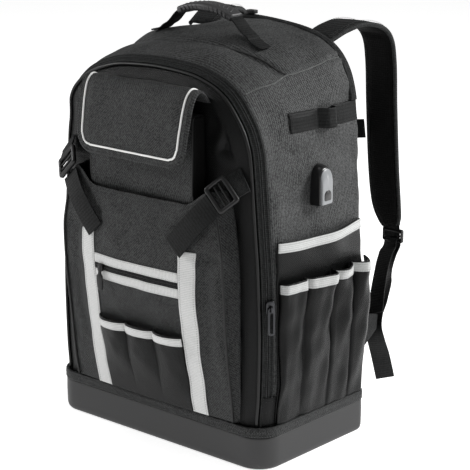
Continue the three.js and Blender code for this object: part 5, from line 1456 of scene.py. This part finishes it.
for side, sign in (("right", 1), ("left", -1)):
    line, head = headed(LOWER_STRAP, sign, 80)
    strip("lower_strap_webbing_" + side, line, head, flat_section(25, WEB), WEBBING, stands_for=["lower_strap_" + side])
    line, head = headed(TAIL, sign, 130)
    strip("strap_tail_webbing_" + side, line, head, flat_section(25, WEB), WEBBING, stands_for=["strap_tail_" + side])
    _, s, up = frames(line, head)
    fold = line[-16:] + up[-16:] * (1.5 if up[-1, 1] > 0 else -1.5)
    strip("strap_tail_fold_" + side, fold, head[-16:], flat_section(24.6, 1.5), WEBBING, slot="webbing")
    seam = [fold[3] + s[-13] * w + up[-13] * (0.9 if up[-1, 1] > 0 else -0.9) for w in np.linspace(-11, 11, 9)]
    beads("strap_tail_stitches_" + side, [np.array(seam)], [up[-13]], 2.4, (1.9, 0.8, 0.6), THREAD_GREY)
    mid = np.array([sign * 129.0, REAR_Y + 126, 224.75])
    looped("strap_lock_moulded_" + side, mid, (1, 0, 0), (0, 0, 1), (16, 9), (13, 4.6), 5.6, BUCKLE,
           "strap_lock_" + side, (2.5, 1.5))
    held = smooth_line([(sign * 128.2, REAR_Y + 123.6, 243), (sign * 128.6, REAR_Y + 124.4, 232),
                        (sign * 129, REAR_Y + 124.6, 224), (sign * 128.8, REAR_Y + 124.2, 215)], 30)
    strip("strap_lock_web_" + side, held, (1, 0, 0), flat_section(24.5, 1.4), WEBBING, slot="webbing")
    bar = np.array([mid + (w, 0, 0) for w in np.linspace(-13.5, 13.5, 9)])
    strip("strap_lock_bar_" + side, bar, (0, 0, 1), round_section(1.4, 10), BUCKLE, slot="buckle_plastic")
    tab = eased("strap_keeper_" + side, 0.9, STRAP_CLOTH)
    flat = tab.data.uv_layers.new(name="cut")
    corner = np.empty(len(tab.data.loops), np.int32)
    tab.data.loops.foreach_get("vertex_index", corner)
    flat.data.foreach_set("uv", (coordinates(tab.data)[corner][:, [1, 2]] * MM).astype(np.float32).ravel())
line = rear_line([(-95.1, 104, 368), (-45, 90, 362), (0, 86, 360), (45, 90, 362), (95.1, 104, 368)], 1, 90)
strip("sternum_strap_webbing", line, (0, 0, 1), flat_section(25, WEB), WEBBING, stands_for=["sternum_strap"])
print("webbing done")

# %% [markdown]
# The back panel is foam under cloth, sewn down round its edge. It is made a little thin, inflated, and then three sewn
# channels are pressed in, because the remesh would remove them.
# %% Back padding
PAD_LOW, PAD_HIGH, PAD_HALF, PAD_R = 70, 458, 138, 34
us = np.sin(np.linspace(-1, 1, 61) * 1.4) / math.sin(1.4)
zs = (PAD_LOW + PAD_HIGH) / 2 + np.sin(np.linspace(-1, 1, 81) * 1.45) / math.sin(1.45) * (PAD_HIGH - PAD_LOW) / 2
near_end = np.minimum(zs - PAD_LOW, PAD_HIGH - zs)
low = np.clip(1 - near_end / PAD_R, 0, 0.985)
half = PAD_HALF - PAD_R * (1 - np.sqrt(1 - low**2))
x = us[None] * half[:, None]
edge = np.minimum(half[:, None] - np.abs(x), near_end[:, None] + 0 * x)
off = 2.2 + 7.6 * ease(edge / 24)
z_grid = zs[:, None] + 0 * x
face = np.stack([x, REAR_Y + off, z_grid], -1)
under = np.stack([x, np.full(x.shape, REAR_Y + 0.4), z_grid], -1)
pad = cloth("back_padding_foam", face, 8, MESH_PAD, out=(0, 1, 0), inner=under, stands_for=["back_padding"])


def press(p):
    out = p.copy()
    front = np.clip((p[:, 1] - REAR_Y - 4) / 4, 0, 1)
    for line_x in (-62, 0, 62):
        out[:, 1] -= front * 4.2 * np.exp(-((p[:, 0] - line_x) / 4.5) ** 2) * ease((PAD_HIGH - 30 - p[:, 2]) / 30) * ease(
            (p[:, 2] - PAD_LOW - 30) / 30)
    return out


puffed(pad, 3.0, 5.0, lambda p: np.stack([p[:, 0], np.clip(p[:, 1], REAR_Y + 0.4, REAR_Y + 13.5), p[:, 2]], 1), press)
outline_ = []
for sx, sz, start in ((1, 1, 0), (-1, 1, 90), (-1, -1, 180), (1, -1, 270)):
    for g in np.radians(np.linspace(start, start + 90, 12)):
        outline_.append((sx * (PAD_HALF - PAD_R) + PAD_R * math.cos(g), REAR_Y + 2.4,
                         264 + sz * (194 - PAD_R) + PAD_R * math.sin(g)))
outline_ = np.array(outline_)
_, s, up = frames(np.concatenate([outline_, outline_[:1]]), (0, 1, 0))
sec = round_section(2.4, 12)
rings = outline_[:, None] + s[:-1, None] * sec[None, :, :1] + up[:-1, None] * sec[None, :, 1:]
ringed("back_padding_binding", rings, BINDING, wrap=True, slot="padding_cloth")
print("back padding:", len(pad.data.polygons), "faces")
